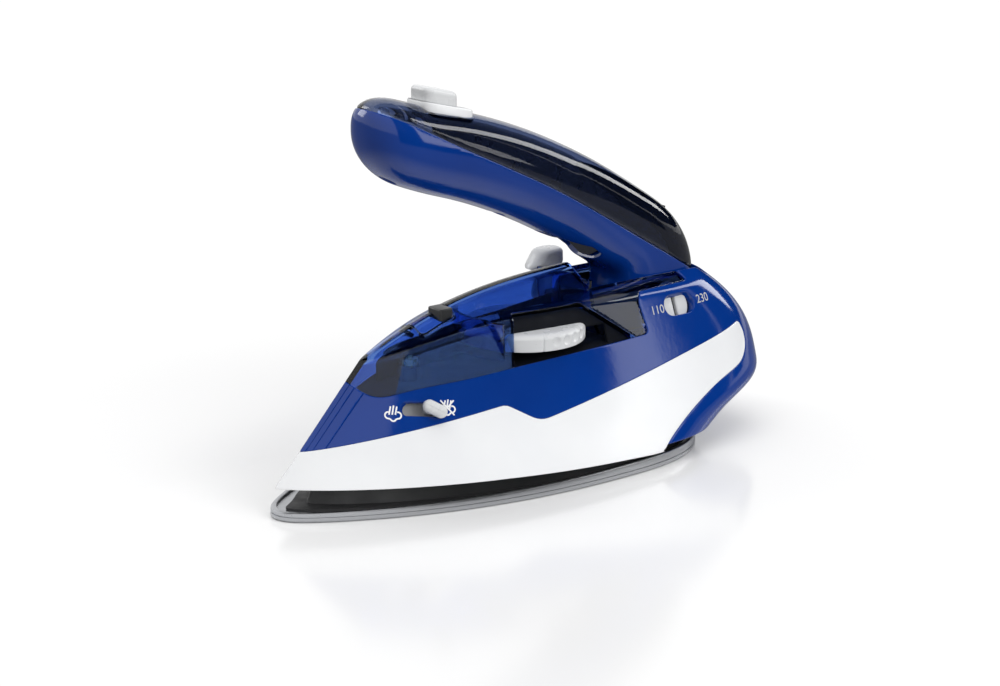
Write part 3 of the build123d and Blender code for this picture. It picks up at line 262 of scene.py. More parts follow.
class Skin:
    """Outer and inner points of one moulding, with triangles that can be cut along lines."""

    def __init__(self, outer, inner, faces, depth=None):
        self.outer, self.inner, self.faces = outer, inner, faces
        self.depth = np.full(len(outer), FAR) if depth is None else depth

    def copy(self):
        return Skin(self.outer.copy(), self.inner.copy(), self.faces.copy(), self.depth.copy())

    def score(self, value, level):
        """Adds an edge line where value crosses the level, and returns the longer value list."""
        value = np.where(abs(value - level) < 0.015, level, value)
        over = value[self.faces] - level
        cut = (over.max(1) > 0) & (over.min(1) < 0)
        faces, made, pairs, shares = list(self.faces[~cut]), {}, [], []

        def between(i, j):
            key = (min(i, j), max(i, j))
            if key not in made:
                made[key] = len(self.outer) + len(pairs)
                pairs.append(key)
                shares.append((level - value[key[0]]) / (value[key[1]] - value[key[0]]))
            return made[key]

        for face in self.faces[cut]:
            sign = [np.sign(value[k] - level) for k in face]
            if 0 in sign:
                k = sign.index(0)
                a, b, c = face[k], face[k - 2], face[k - 1]
                m = between(b, c)
                faces += [(a, b, m), (a, m, c)]
                continue
            k = next(k for k in range(3) if sign[k] != sign[k - 1] and sign[k] != sign[k - 2])
            a, b, c = face[k], face[k - 2], face[k - 1]
            m, n = between(a, b), between(a, c)
            faces += [(a, m, n), (m, b, c), (m, c, n)]
        if pairs:
            i, j = np.array(pairs).T
            t = np.array(shares)[:, None]
            self.outer = np.concatenate([self.outer, self.outer[i] * (1 - t) + self.outer[j] * t])
            self.inner = np.concatenate([self.inner, self.inner[i] * (1 - t) + self.inner[j] * t])
            t = t[:, 0]
            self.depth = np.concatenate([self.depth, self.depth[i] * (1 - t) + self.depth[j] * t])
            value = np.concatenate([value, np.full(len(pairs), level)])
        self.faces = np.array(faces, int).reshape(-1, 3)
        return value

    def trim(self, measure, edge=EDGE):
        """Keeps what lies at a positive measure, with a rounded edge."""
        value = measure(self.outer)
        for level in (edge, 0.6 * edge, 0.28 * edge, 0.07 * edge, 0.0):
            value = self.score(value, level)
        self.depth = np.minimum(self.depth, value)
        keep = value[self.faces].sum(1) > 1e-6
        self.faces = self.faces[keep]
        used = np.unique(self.faces)
        place = np.zeros(len(self.outer), int)
        place[used] = np.arange(len(used))
        self.outer, self.inner, self.depth = self.outer[used], self.inner[used], self.depth[used]
        self.faces = place[self.faces]
        return self

    def inward(self):
        """Unit direction from the outer to the inner skin at each point."""
        way = self.inner - self.outer
        return way / (np.linalg.norm(way, axis=1)[:, None] + 1e-9)

    def sink(self, depth, thick):
        """Moves the skin inwards and gives it another thickness."""
        inward = self.inward()
        self.outer = self.outer + inward * depth
        self.inner = self.outer + inward * thick
        return self

    def groove(self, distance, half, deep):
        """Presses a narrow groove along the line where the distance is nil."""
        for level in (-half, 0.0, half):
            self.score(distance(self.outer), level)
        sink = np.clip(1 - abs(distance(self.outer)) / half, 0, 1) * deep
        self.outer = self.outer + self.inward() * sink[:, None]
        return self

    def solid(self, edge=EDGE):
        """Points and faces of the closed moulding."""
        dip = edge - np.sqrt(np.clip(edge**2 - np.clip(edge - self.depth, 0, edge) ** 2, 0, None))
        outer = self.outer + self.inward() * dip[:, None]
        count = len(outer)
        sides = {}
        for a, b, c in self.faces:
            for i, j in ((a, b), (b, c), (c, a)):
                if (j, i) in sides:
                    del sides[(j, i)]
                else:
                    sides[(i, j)] = True
        faces = [tuple(f) for f in self.faces] + [tuple(f[::-1] + count) for f in self.faces]
        faces += [(j, i, i + count, j + count) for i, j in sides]
        return np.concatenate([outer, self.inner]), faces


def shared(points):
    """Places of the points that differ, and for each point its place among these."""
    key = np.round(points * WELD).astype(np.int64)
    _, first, same = np.unique(key, axis=0, return_index=True, return_inverse=True)
    return first, same.reshape(-1)


def weld(outer, inner, faces):
    """Skin whose seam points are shared and whose pinched triangles are gone."""
    first, same = shared(np.concatenate([outer, inner], 1))
    faces = same[np.array(faces, int)]
    whole = (faces[:, 0] != faces[:, 1]) & (faces[:, 1] != faces[:, 2]) & (faces[:, 2] != faces[:, 0])
    return Skin(outer[first], inner[first], faces[whole])


def grid_faces(rows, columns, start=0, flip=False):
    """Triangles of a grid whose points run down each column."""
    faces = []
    for i in range(columns - 1):
        for j in range(rows - 1):
            a, b = start + i * rows + j, start + (i + 1) * rows + j
            quad = (a, b, b + 1, a + 1) if not flip else (a, a + 1, b + 1, b)
            faces += [(quad[0], quad[1], quad[2]), (quad[0], quad[2], quad[3])]
    return faces


def body_skin():
    """Whole body surface, both sides, before it is parted into mouldings."""
    shares = even_shares(count=150, length=195, half=34, heel=BODY_HEEL)
    near = [np.array([body_column(f, inset) for f in shares]) for inset in (0.0, WALL)]
    rows = near[0].shape[1]
    sides = [part.reshape(-1, 3) for part in near]
    outer, inner = (np.concatenate([p, p * (1, -1, 1)]) for p in sides)
    faces = grid_faces(rows, len(shares))
    faces += grid_faces(rows, len(shares), len(sides[0]), flip=True)
    return weld(outer, inner, faces)


def inside_depth(outline):
    """Measure of how far side-view points lie inside a closed outline."""
    a = np.array(outline, float)
    b = np.roll(a, -1, axis=0)
    run = b - a

    def part(points):
        x, z = points[:, :1], points[:, 2:]
        near = np.clip(((x - a[:, 0]) * run[:, 0] + (z - a[:, 1]) * run[:, 1]) / (run**2).sum(1), 0, 1)
        gap = np.hypot(x - a[:, 0] - near * run[:, 0], z - a[:, 1] - near * run[:, 1]).min(1)
        rise = np.where(b[:, 1] == a[:, 1], 1e-9, b[:, 1] - a[:, 1])
        hits = ((a[:, 1] > z) != (b[:, 1] > z)) & (x < run[:, 0] * (z - a[:, 1]) / rise + a[:, 0])
        return np.where(hits.sum(1) % 2 == 1, gap, -gap)

    def measure(points):
        return np.concatenate([part(points[k:k + 4000]) for k in range(0, len(points), 4000)])

    return measure


def outside(measure):
    """The same measure for what lies beyond the outline."""
    return lambda points: -measure(points)


def beyond_box(along, across):
    """Distance outside a box from the two overshoots, rounded at its corners."""
    beyond = np.hypot(np.clip(along, 0, None), np.clip(across, 0, None))
    return beyond + np.minimum(np.maximum(along, across), 0)


def drum_middle(fold):
    """Side-view middle of the root's drum with the handle folded by some degrees."""
    turn, rise = math.radians(fold), DRUM[1] - PIVOT[1]
    return PIVOT[0] - rise * math.sin(turn), PIVOT[1] + rise * math.cos(turn)


def handle_slot(points):
    """Distance outside the slot that the handle's root swings in."""
    round_gap = np.full(len(points), FAR)
    for fold in (0, FOLD / 2, FOLD):
        x, z = drum_middle(fold)
        gap = np.hypot(points[:, 0] - x, points[:, 2] - z) - DRUM_R - DRUM_GAP
        round_gap = np.minimum(round_gap, gap)
    return beyond_box(round_gap, abs(points[:, 1]) - SLOT_HALF)


def clear_slot(skin):
    """Keeps the inside of a wall out of the handle's slot as well."""
    within = (handle_slot(skin.inner) < 0) & (abs(skin.inner[:, 1]) > SLOT_HALF - 3)
    skin.inner[within, 1] = np.sign(skin.inner[within, 1]) * SLOT_HALF
    return skin


# Controls set in the walls, as planes: origin, along, up, out
def wall_plane(origin, yaw, roll):
    """Frame of a control on the leaning near wall."""
    lean = math.atan(SIDE_LEAN)
    turn = Matrix.Rotation(math.radians(-yaw), 4, "Z") @ Matrix.Rotation(-lean, 4, "X")
    along = turn @ Matrix.Rotation(math.radians(roll), 4, "Y") @ Vector((1, 0, 0))
    out = turn @ Vector((0, -1, 0))
    up = out.cross(along)
    return np.array(origin, float), np.array(along), np.array(up), np.array(out)


def plane_points(plane, flat):
    """Points in space of (along, up, out) places on a control's plane."""
    origin, along, up, out = plane
    flat = np.array(flat, float)
    return origin + flat[:, :1] * along + flat[:, 1:2] * up + flat[:, 2:3] * out


def on_plane(plane, points):
    """(along, up, out) of points as seen on a control's plane."""
    return np.stack([(points - plane[0]) @ axis for axis in plane[1:]], 1)


SLIDER = wall_plane((-40.4, -15.5, 31.5), 24.0, 6.0)
SLIDER_SLOT = (16.0, 4.6)
SELECTOR = wall_plane((67.3, -22.8, 50.6), 0.0, 0.0)
SELECTOR_R = 6.2
SELECTOR_OPEN = 3.7
SELECTOR_SLOT = (0.6, 3.4)
CONTROL_REACH = 12


def slider_slot(points):
    """Distance outside the slider's stadium slot."""
    flat = on_plane(SLIDER, points)
    half = SLIDER_SLOT[0] / 2 - SLIDER_SLOT[1] / 2
    over = np.clip(abs(flat[:, 0]) - half, 0, None)
    gap = np.hypot(over, flat[:, 1]) - SLIDER_SLOT[1] / 2
    return np.where(abs(flat[:, 2]) < CONTROL_REACH, gap, FAR)


def selector_well(points):
    """Distance outside the well that the voltage selector sits in."""
    flat = on_plane(SELECTOR, points)
    over = np.clip(abs(flat[:, 0] - SELECTOR_SLOT[0]) - SELECTOR_SLOT[1], 0, None)
    gap = np.hypot(over, flat[:, 1]) - SELECTOR_OPEN
    return np.where(abs(flat[:, 2]) < CONTROL_REACH, gap, FAR)


def dial_opening(points):
    """Distance outside the dial's pocket on the near wall."""
    gap = -inside_depth(POCKET)(points)
    return np.where(points[:, 1] < 0, gap, FAR)


LID = (-33.0, -19.0, 6.0)
LID_TAB = (-22.0, -2.0)
LID_ROUND = 1.5
LID_DEEP = 4


def lid_gap(margin):
    """Measure outside the filler lid's outline on the roof."""
    def measure(points):
        middle, half = (LID[0] + LID[1]) / 2, (LID[1] - LID[0]) / 2
        along = abs(points[:, 0] - middle) - half + LID_ROUND
        gap = beyond_box(along, abs(points[:, 1]) - LID[2] + LID_ROUND) - LID_ROUND - margin
        return np.where(points[:, 2] > roof(points[:, 0], points[:, 1]) - LID_DEEP, gap, FAR)

    return measure


def break_outline():
    """Closed side-view outline of the white skirt."""
    slope = (BREAK_PEAK[1] - BREAK_NOSE[1]) / (BREAK_PEAK[0] - BREAK_NOSE[0])
    front = (FRONT, BREAK_NOSE[1] + (FRONT - BREAK_NOSE[0]) * slope)
    tight, wide = BREAK_ROUND
    line = [front, *rounded(front, BREAK_PEAK, BREAK_LOW, tight)]
    line += [*rounded(BREAK_PEAK, BREAK_LOW, BREAK_REAR, wide)]
    line += [*rounded(BREAK_LOW, BREAK_REAR, BAND[0], tight), *curve_through(BAND), *FOOT]
    return np.array(line)


def tank_outline():
    """Closed side-view outline of the smoky tank."""
    line = [(FRONT, 112.0), *curve_through(TANK_SILL)]
    line += [*rounded(TANK_SILL[-1], STRIP[0], STRIP[1], STRIP_ROUND[0])]
    for k in (1, 2, 4):
        line += [*rounded(STRIP[k - 1], STRIP[k], STRIP[k + 1], STRIP_ROUND[1])]
    return np.array([*line, *STRIP[5:], (-100.0, 130.0)])


def placed(name, data):
    """New object in the scene."""
    thing = bpy.data.objects.new(name, data)
    bpy.context.scene.collection.objects.link(thing)
    return thing


def flat_mesh(name, points, faces):
    """Mesh from points in millimetres."""
    mesh = bpy.data.meshes.new(name)
    mesh.from_pydata([tuple(p) for p in np.asarray(points, float) * MM], [],
                     [tuple(map(int, f)) for f in faces])
    return mesh


def settle(name, mesh, material, body, sharp, replaces):
    """Smooth-shaded piece of one finish, riding on a body."""
    mesh.polygons.foreach_set("use_smooth", [True] * len(mesh.polygons))
    mesh.set_sharp_from_angle(angle=math.radians(sharp))
    mesh.materials.append(material)
    piece = placed(name, mesh)
    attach(piece, body)
    if replaces:
        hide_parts(*replaces)
    return piece


def new_piece(name, points, faces, material, body, slot, sharp=38.0, replaces=()):
    """Piece from points in millimetres and faces."""
    mesh = flat_mesh(name, points, faces)
    mesh.validate()
    return settle(name, mesh, material, body, sharp, replaces)


def joined(*parts):
    """One list of points and faces from several."""
    points, faces, start = [], [], 0
    for part_points, part_faces in parts:
        points.append(np.asarray(part_points, float).reshape(-1, 3))
        faces += [tuple(int(k) + start for k in face) for face in part_faces]
        start += len(points[-1])
    points = np.concatenate(points)
    first, same = shared(points)
    return points[first], [tuple(same[k] for k in face) for face in faces]


def through(rings, shut=False):
    """Closed solid through rings of equal count, capped at both ends or shut into a loop."""
    rings = [np.asarray(ring, float) for ring in rings]
    count, points = len(rings[0]), np.concatenate(rings)
    faces = []
    for k in range(len(rings) if shut else len(rings) - 1):
        here, there = k * count, (k + 1) % len(rings) * count
        for n in range(count):
            m = (n + 1) % count
            faces.append((here + n, here + m, there + m, there + n))
    if not shut:
        faces.append(tuple(range(count))[::-1])
        faces.append(tuple(len(points) - count + n for n in range(count)))
    filled = sum(points[f[0]] @ np.cross(points[f[k]], points[f[k + 1]])
                 for f in faces for k in range(1, len(f) - 1))
    return points, faces if filled > 0 else [f[::-1] for f in faces]


def circle(radius, z, segments=64, centre=(0.0, 0.0)):
    """Level ring of points."""
    turn = np.linspace(0, 2 * math.pi, segments, endpoint=False)
    x, y = centre[0] + radius * np.cos(turn), centre[1] + radius * np.sin(turn)
    return np.stack([x, y, np.full(segments, z)], 1)


def lathe(profile, segments=64):
    """Closed solid turned about an upright line from (radius, height) points."""
    return through([circle(r, z, segments) for r, z in profile])


def grown(outline, grow, height):
    """Level ring of a flat outline moved outwards."""
    outline = np.array(outline, float)
    side = np.roll(outline, -1, axis=0) - np.roll(outline, 1, axis=0)
    normal = np.stack([side[:, 1], -side[:, 0]], 1) / (np.linalg.norm(side, axis=1)[:, None] + 1e-9)
    return np.column_stack([outline + normal * grow, np.full(len(outline), float(height))])


def loop_prism(outline, levels):
    """Closed solid through stacked copies of a flat outline: (grow, height) for each level."""
    return through([grown(outline, grow, height) for grow, height in levels])


def pill(length, width, corner, steps=8):
    """Counter-clockwise rounded rectangle about the origin."""
    points = []
    for k, (sx, sy) in enumerate(((1, -1), (1, 1), (-1, 1), (-1, -1))):
        for turn in np.linspace(-90 + 90 * k, 90 * k, steps):
            a = math.radians(turn)
            points.append((sx * (length / 2 - corner) + corner * math.cos(a),
                           sy * (width / 2 - corner) + corner * math.sin(a)))
    return points


def arc(centre, radius, start, end, steps=12):
    """Points of a flat arc."""
    return [(centre[0] + radius * math.cos(a), centre[1] + radius * math.sin(a))
            for a in np.radians(np.linspace(start, end, steps))]


def round_edge(radius, low, high, steps=5):
    """(grow, height) levels of a solid whose upper rim is rounded."""
    rim = [(radius * (math.cos(a) - 1), high - radius + radius * math.sin(a))
           for a in np.linspace(0, math.pi / 2, steps)]
    return [(0.0, low), *rim]


# Materials
def shader(name):
    """New node material, its tree and its surface shader."""
    material = bpy.data.materials.new(name)
    material.use_nodes = True
    return material, material.node_tree, material.node_tree.nodes["Principled BSDF"]


def set_inputs(tree, node, inputs):
    """Gives a node's inputs their sockets or plain values."""
    for key, value in inputs.items():
        if isinstance(value, bpy.types.NodeSocket):
            tree.links.new(value, node.inputs[key])
        else:
            node.inputs[key].default_value = value


def add_node(tree, kind, inputs=None, **settings):
    """New node with its settings and inputs."""
    node = tree.nodes.new(kind)
    for key, value in settings.items():
        setattr(node, key, value)
    set_inputs(tree, node, inputs or {})
    return node


def noise(tree, scale, detail=3.0, stretch=None):
    """Noise over the piece's own coordinates, per metre, drawn out where a stretch is given."""
    place = add_node(tree, "ShaderNodeTexCoord").outputs["Object"]
    if stretch:
        place = add_node(tree, "ShaderNodeMapping", {"Vector": place, "Scale": stretch}).outputs["Vector"]
    cloud = add_node(tree, "ShaderNodeTexNoise", {"Vector": place, "Scale": scale, "Detail": detail})
    return cloud.outputs["Fac"]


def drift(tree, source, low, high):
    """Colour that follows a noise between two values."""
    node = add_node(tree, "ShaderNodeValToRGB", {"Fac": source})
    for end, position, colour in zip(node.color_ramp.elements, (0.3, 0.7), (low, high)):
        end.position, end.color = position, (*colour, 1)
    return node.outputs["Color"]


def grey_drift(tree, source, level, low, high):
    """Grey that follows a noise between two shares of a level."""
    return drift(tree, source, (level * low,) * 3, (level * high,) * 3)


def grain(tree, source, strength, distance):
    """Normal of a fine bump."""
    bump = {"Height": source, "Strength": strength, "Distance": distance}
    return add_node(tree, "ShaderNodeBump", bump).outputs["Normal"]


def moulded(name, low, high, rough, peel=0.05, shine=0.5):
    """Moulded plastic: a little colour drift, polish drift and orange peel."""
    material, tree, surface = shader(name)
    set_inputs(tree, surface, {
        "Base Color": drift(tree, noise(tree, 35.0), low, high),
        "Roughness": grey_drift(tree, noise(tree, 160.0), rough, 0.8, 1.25),
        "Normal": grain(tree, noise(tree, 700.0, 2.0), peel, 0.0002),
        "Specular IOR Level": shine,
    })
    return material


def smoky(name, tint, rough, soak, depth):
    """Clear tinted plastic with a faint flow pattern, darker the deeper the light runs in it."""
    material, tree, surface = shader(name)
    deep = tuple(0.8 * c for c in tint)
    set_inputs(tree, surface, {
        "Base Color": drift(tree, noise(tree, 22.0), deep, tint),
        "Normal": grain(tree, noise(tree, 120.0, 2.0), 0.03, 0.0002),
        "Transmission Weight": 1.0,
        "Roughness": rough,
        "IOR": 1.46,
    })
    inside = add_node(tree, "ShaderNodeVolumeAbsorption", {"Color": (*soak, 1), "Density": depth})
    set_inputs(tree, tree.nodes["Material Output"], {"Volume": inside.outputs["Volume"]})
    return material


def brushed(name, low, high, rough, stretch, ridge=0.05):
    """Metal with fine lines along one axis."""
    material, tree, surface = shader(name)
    lines = noise(tree, 900.0, 4.0, stretch)
    set_inputs(tree, surface, {
        "Base Color": drift(tree, lines, low, high),
        "Roughness": grey_drift(tree, lines, rough, 0.8, 1.3),
        "Normal": grain(tree, lines, ridge, 0.0001),
        "Metallic": 1.0,
    })
    return material


BLUE = moulded("royal_blue_gloss", (0.0012, 0.030, 0.215), (0.0018, 0.036, 0.245), 0.09)
WHITE = moulded("white_skirt_gloss", (0.80, 0.81, 0.83), (0.84, 0.85, 0.86), 0.16)
CONTROL = moulded("white_satin_control", (0.64, 0.65, 0.66), (0.70, 0.71, 0.72), 0.28)
PALE = moulded("pale_grey_runner", (0.46, 0.46, 0.46), (0.54, 0.54, 0.54), 0.35)
SMOKE = smoky("smoky_navy_clear", (0.26, 0.45, 0.93), 0.02, (0.10, 0.28, 0.58), 190.0)
COVER = smoky("smoky_navy_cover", (0.46, 0.55, 0.80), 0.03, (0.05, 0.14, 0.32), 300.0)
LINING = moulded("dark_navy_lining", (0.0012, 0.0035, 0.016), (0.0018, 0.005, 0.022), 0.30)
BLACK = moulded("black_plinth", (0.016, 0.017, 0.018), (0.022, 0.023, 0.025), 0.38)
DARK = moulded("dark_inner_plastic", (0.008, 0.010, 0.016), (0.014, 0.016, 0.024), 0.22)
MATT = moulded("matt_inner_plastic", (0.006, 0.007, 0.010), (0.010, 0.011, 0.015), 0.70, shine=0.12)
AMBER = moulded("amber_lamp_lens", (0.55, 0.19, 0.02), (0.70, 0.27, 0.04), 0.12)
INNER_BLUE = moulded("inner_blue_plastic", (0.004, 0.020, 0.11), (0.008, 0.03, 0.15), 0.30)
RUBBER = moulded("black_rubber", (0.010, 0.010, 0.010), (0.018, 0.018, 0.018), 0.55, peel=0.2)
SILVER = brushed("silver_sole", (0.44, 0.45, 0.47), (0.48, 0.49, 0.51), 0.34, (0.06, 1.0, 1.0), 0.015)
STEEL = brushed("steel_parts", (0.48, 0.48, 0.49), (0.60, 0.60, 0.61), 0.24, (1.0, 1.0, 0.1))
BRASS = brushed("brass_parts", (0.62, 0.44, 0.16), (0.72, 0.53, 0.22), 0.28, (1.0, 1.0, 0.1))
MICA = moulded("mica_insulation", (0.03, 0.03, 0.032), (0.05, 0.05, 0.052), 0.55)
LEAD_SLEEVE = moulded("lead_sleeve", (0.55, 0.53, 0.48), (0.63, 0.60, 0.55), 0.45)
MARK = moulded("white_print", (0.86, 0.86, 0.86), (0.90, 0.90, 0.90), 0.4, peel=0.0)

# Body mouldings
whole = body_skin()
skirt_inside = inside_depth(break_outline())
tank_inside = inside_depth(tank_outline())

skirt = whole.copy().trim(skirt_inside)
new_piece("white_skirt", *skirt.solid(), WHITE, "base", "white_gloss", replaces=["skirt"])

housing = whole.copy().trim(outside(skirt_inside)).trim(outside(tank_inside))
housing.trim(lambda p: p[:, 2] - np.where(p[:, 0] < HOUSING_FOOT[0], *HOUSING_FOOT[1:]))
housing.trim(handle_slot).trim(slider_slot).trim(selector_well, 0.5)
for across in NOSE_LINES:
    housing.groove(lambda p: np.where(p[:, 0] < NOSE_LINE_END, abs(p[:, 1]) - across, OFF_LINE), 0.16, 0.3)
new_piece("blue_housing", *clear_slot(housing).solid(), BLUE, "base", "blue_gloss",
          replaces=["upper_housing", "rear_cover"])

tank = whole.copy().trim(tank_inside).trim(handle_slot).trim(dial_opening).trim(lid_gap(0.35))
new_piece("smoky_tank", *clear_slot(tank).solid(), SMOKE, "base", "smoke_clear", replaces=["water_tank"])


def deck_height(x):
    """Height of the housing's deck under the tank."""
    return np.interp(x, *zip(*curve_through(TANK_SILL))) - DECK_DROP


def deck_skin():
    """Dark deck that closes the housing under the tank."""
    columns = []
    for x in np.linspace(*DECK, 90):
        z = deck_height(x)
        half = max(float(wall_y(x, z)) - DECK_GAP, 0.1)
        columns.append(np.linspace(-1, 1, DECK_ROWS)[:, None] * (0, half, 0) + (x, 0, z))
    outer = np.concatenate(columns)
    skin = weld(outer, outer - (0, 0, DECK_THICK), grid_faces(DECK_ROWS, len(columns)))
    return skin.trim(lambda p: np.hypot(p[:, 0] - DIAL[0], p[:, 1] - DIAL[1]) - SHAFT_HOLE)


def pocket_plate():
    """Dark plate behind the dial's opening, following the wall and leaving room for the dial."""
    inside = inside_depth(POCKET_PLATE)
    plate = whole.copy().trim(lambda p: np.where(p[:, 1] < 0, inside(p), -FAR))
    return plate.sink(POCKET_DEEP, 1.0)


def upright_plate(outline, y, thick):
    """Flat plate of a side-view outline between two depths."""
    return through([[(x, at, z) for x, z in outline] for at in (y, y + thick)])


def saddle_front(z):
    """Front edge of the handle's slot at a height."""
    middle = drum_middle(FOLD)
    return middle[0] - math.sqrt((DRUM_R + DRUM_GAP) ** 2 - (z - middle[1]) ** 2)


def saddle_walls():
    """Walls that line the handle's slot below the roof."""
    low, high = SADDLE
    rear = [(88, high), (92, 50), (92, low)]
    near = [(saddle_front(z), z) for z in np.linspace(low, high, 12)] + rear
    far = [(45.0, low), (45.0, high)] + rear
    return joined(upright_plate(near, -SLOT_HALF - 0.75, SADDLE_WALL),
                  upright_plate(far, SLOT_HALF + 0.05, SADDLE_WALL))


def saddle_lip():
    """Clear curved wall across the front of the handle's slot."""
    inner = [(saddle_front(z), z) for z in np.linspace(43, 62.5, 24)]
    outer = [(x - 1.1, z) for x, z in inner][::-1]
    return upright_plate(inner + outer, -SLOT_HALF, 2 * SLOT_HALF)


def round_wall(centre, radius, thick, low, high, start, end, steps=48):
    """Upright curved wall between two angles, closed at its ends."""
    section = ((radius, low), (radius + thick, low), (radius + thick, high), (radius, high))
    return through([[(centre[0] + r * math.cos(a), centre[1] + r * math.sin(a), z) for r, z in section]
                    for a in np.radians(np.linspace(start, end, steps))])


def tank_baffle():
    """Dark plate along the inside of the tank that steadies the water."""
    foot = [(x, float(deck_height(x)) - 0.3) for x in np.linspace(BAFFLE[0][0], BAFFLE[-1][0], 14)]
    return upright_plate(foot + list(BAFFLE[::-1]), y=5.6, thick=0.8)


dial_can = round_wall(DIAL, radius=DIAL_R + 1.6, thick=1.4, low=42.6, high=55.0, start=128, end=214)
new_piece("tank_floor", *deck_skin().solid(), MATT, "base", "black_plastic")
new_piece("tank_baffle", *tank_baffle(), MATT, "base", "black_plastic")
new_piece("pocket_plate", *pocket_plate().solid(), MATT, "base", "black_plastic")
new_piece("dial_can", *dial_can, SMOKE, "base", "smoke_clear")
new_piece("saddle_walls", *saddle_walls(), MATT, "base", "black_plastic")
new_piece("saddle_lip", *saddle_lip(), SMOKE, "base", "smoke_clear")

lid = whole.copy().trim(lambda p: np.where(p[:, 2] > 45, -lid_gap(0.0)(p), -FAR))
new_piece("filler_lid_panel", *lid.solid(), SMOKE, "lid", "smoke_clear", replaces=["filler_lid"])
tab_rim = round_edge(radius=0.5, low=-2.6, high=1.5)
tab, tab_faces = loop_prism(pill(length=5.4, width=7.4, corner=1.0), tab_rim)
new_piece("lid_tab", tab + (*LID_TAB, float(roof(*LID_TAB))), tab_faces, BLACK, "lid", "black_plastic")


# Soleplate: rim, groove and vented face
SOLE_NOSE = -89.4
SOLE_LENGTH = 172.4
SOLE_HALF = 41
SOLE_TOP = 2.2
NOSE_BLUNT = 3.4
# Height of the rim at the nose, its rise, and where and over what length it rises
RIM = (3.2, 1.7)
RIM_RUN = (-88, 171)
# Nose end, heel end and half width of the vented field
VENT_FIELD = (-52, 58, 23.5)
VENT_R = 1.3
VENT_FIRST = -38.0
VENT_PITCH = 11.0
VENT_ROWS = 7
VENT_SPREAD = 0.78
VENT_DEEP = 1.8
VENT_SIDES = 20


def sole_outline(inset, count=170):
    """Closed sole outline, drawn in by inset, counter-clockwise seen from above."""
    shares = even_shares(count, SOLE_LENGTH, SOLE_HALF, SOLE_HEEL)
    x = SOLE_NOSE + 1.2 * inset + shares * (SOLE_LENGTH - 2.2 * inset)
    run = x - x[0]
    blunt = NOSE_BLUNT * np.sqrt(1 - np.exp(-run / 1.6)) * np.exp(-run / 20)
    y = (SOLE_HALF - inset) * boat_share(shares, SOLE_HEEL) + blunt * (shares < 0.999)
    near = np.stack([x, -y], 1)
    far = np.stack([x, y], 1)[1:-1][::-1]
    return np.concatenate([near, far])


def vent_places():
    """Steam vent centres on the sole face, in pairs that follow the outline."""
    places = []
    for k in range(VENT_ROWS):
        x = VENT_FIRST + k * VENT_PITCH
        share = (x - VENT_FIELD[0]) / (VENT_FIELD[1] - VENT_FIELD[0])
        half = VENT_FIELD[2] * float(boat_share(share, SOLE_HEEL)) * VENT_SPREAD
        places += [(x, -half), (x, half)]
    return places


def sole_body():
    """Sole with a rounded rim, a fine groove round its side and open vents."""
    def rim(x):
        return RIM[0] + (x - RIM_RUN[0]) / RIM_RUN[1] * RIM[1]

    profile = [(0.8, 0.0, 0), (0.35, 0.18, 0), (0.08, 0.5, 0), (0.0, 0.85, 0), (0.0, 1.7, 0),
               (0.28, 1.78, 0), (0.28, 2.02, 0), (0.0, 2.1, 0), (0.0, -0.7, 1), (0.12, -0.3, 1),
               (0.4, -0.06, 1), (0.8, 0.0, 1), (1.5, -0.04, 1), (1.9, -0.25, 1), (2.1, -0.6, 1),
               (2.2, SOLE_TOP, 0)]
    rings = []
    for inset, z, raised in profile:
        ring = sole_outline(inset)
        rings.append(np.column_stack([ring, rim(ring[:, 0]) + z if raised else np.full(len(ring), z)]))
    points, faces = through(rings)
    count = len(rings[0])
    faces = [face for face in faces if len(face) == 4]
    top = delaunay_2d_cdt([Vector(p) for p in rings[-1][:, :2]], [], [list(range(count))], 1, 1e-6)
    flat, loops = [tuple(p) for p in rings[0][:, :2]], [list(range(count))]
    wells = []
    ends = [(k, (k + 1) % VENT_SIDES) for k in range(VENT_SIDES)]
    walls = [(k, k + VENT_SIDES, after + VENT_SIDES, after) for k, after in ends]
    walls.append(tuple(range(VENT_SIDES, 2 * VENT_SIDES))[::-1])
    for place in vent_places():
        rim_ring = circle(VENT_R, 0.0, VENT_SIDES, place)
        loops.append([len(flat) + k for k in range(VENT_SIDES)])
        flat += [tuple(p[:2]) for p in rim_ring]
        wells.append((np.concatenate([rim_ring, rim_ring + (0, 0, VENT_DEEP)]), walls))
    face = delaunay_2d_cdt([Vector(p) for p in flat], [], loops, 1, 1e-6)
    holes = [Vector(p) for p in vent_places()]

    def clear_of_holes(triangle):
        middle = sum((face[0][k] for k in triangle), Vector((0, 0))) / 3
        return min((middle - hole).length for hole in holes) > VENT_R * 0.97

    upper = [(*rings[-1][same[0], :2], SOLE_TOP) for same in top[3]], top[2]
    lower = [(*flat[same[0]], 0.0) for same in face[3]], [t[::-1] for t in face[2] if clear_of_holes(t)]
    return joined((points, faces), upper, lower, *wells)


new_piece("silver_sole", *sole_body(), SILVER, "base", "sole_metal", sharp=32, replaces=["soleplate"])


# Handle: lower shell and smoky cover on one smooth form
def grip_middle(x):
    """Height of the grip's middle line."""
    run = x - GRIP_FROM
    lift = TIP_LIFT[1] * min(0.0, x + TIP_LIFT[0]) ** 2
    return GRIP_LINE[0] - GRIP_LINE[1] * run - GRIP_LINE[2] * run**2 + lift


def grip_half(x):
    """Half height of the grip before its tip is rounded."""
    return GRIP_DEPTH[0] + GRIP_DEPTH[1] * (x - GRIP_FROM)


def tip_share(x):
    """Share of its full section that the grip keeps at its rounded tip."""
    reach = max(0.0, (GRIP_TIP + TIP_ROUND - x) / TIP_ROUND)
    return (1 - reach**TIP_POWER) ** (1 / TIP_POWER)


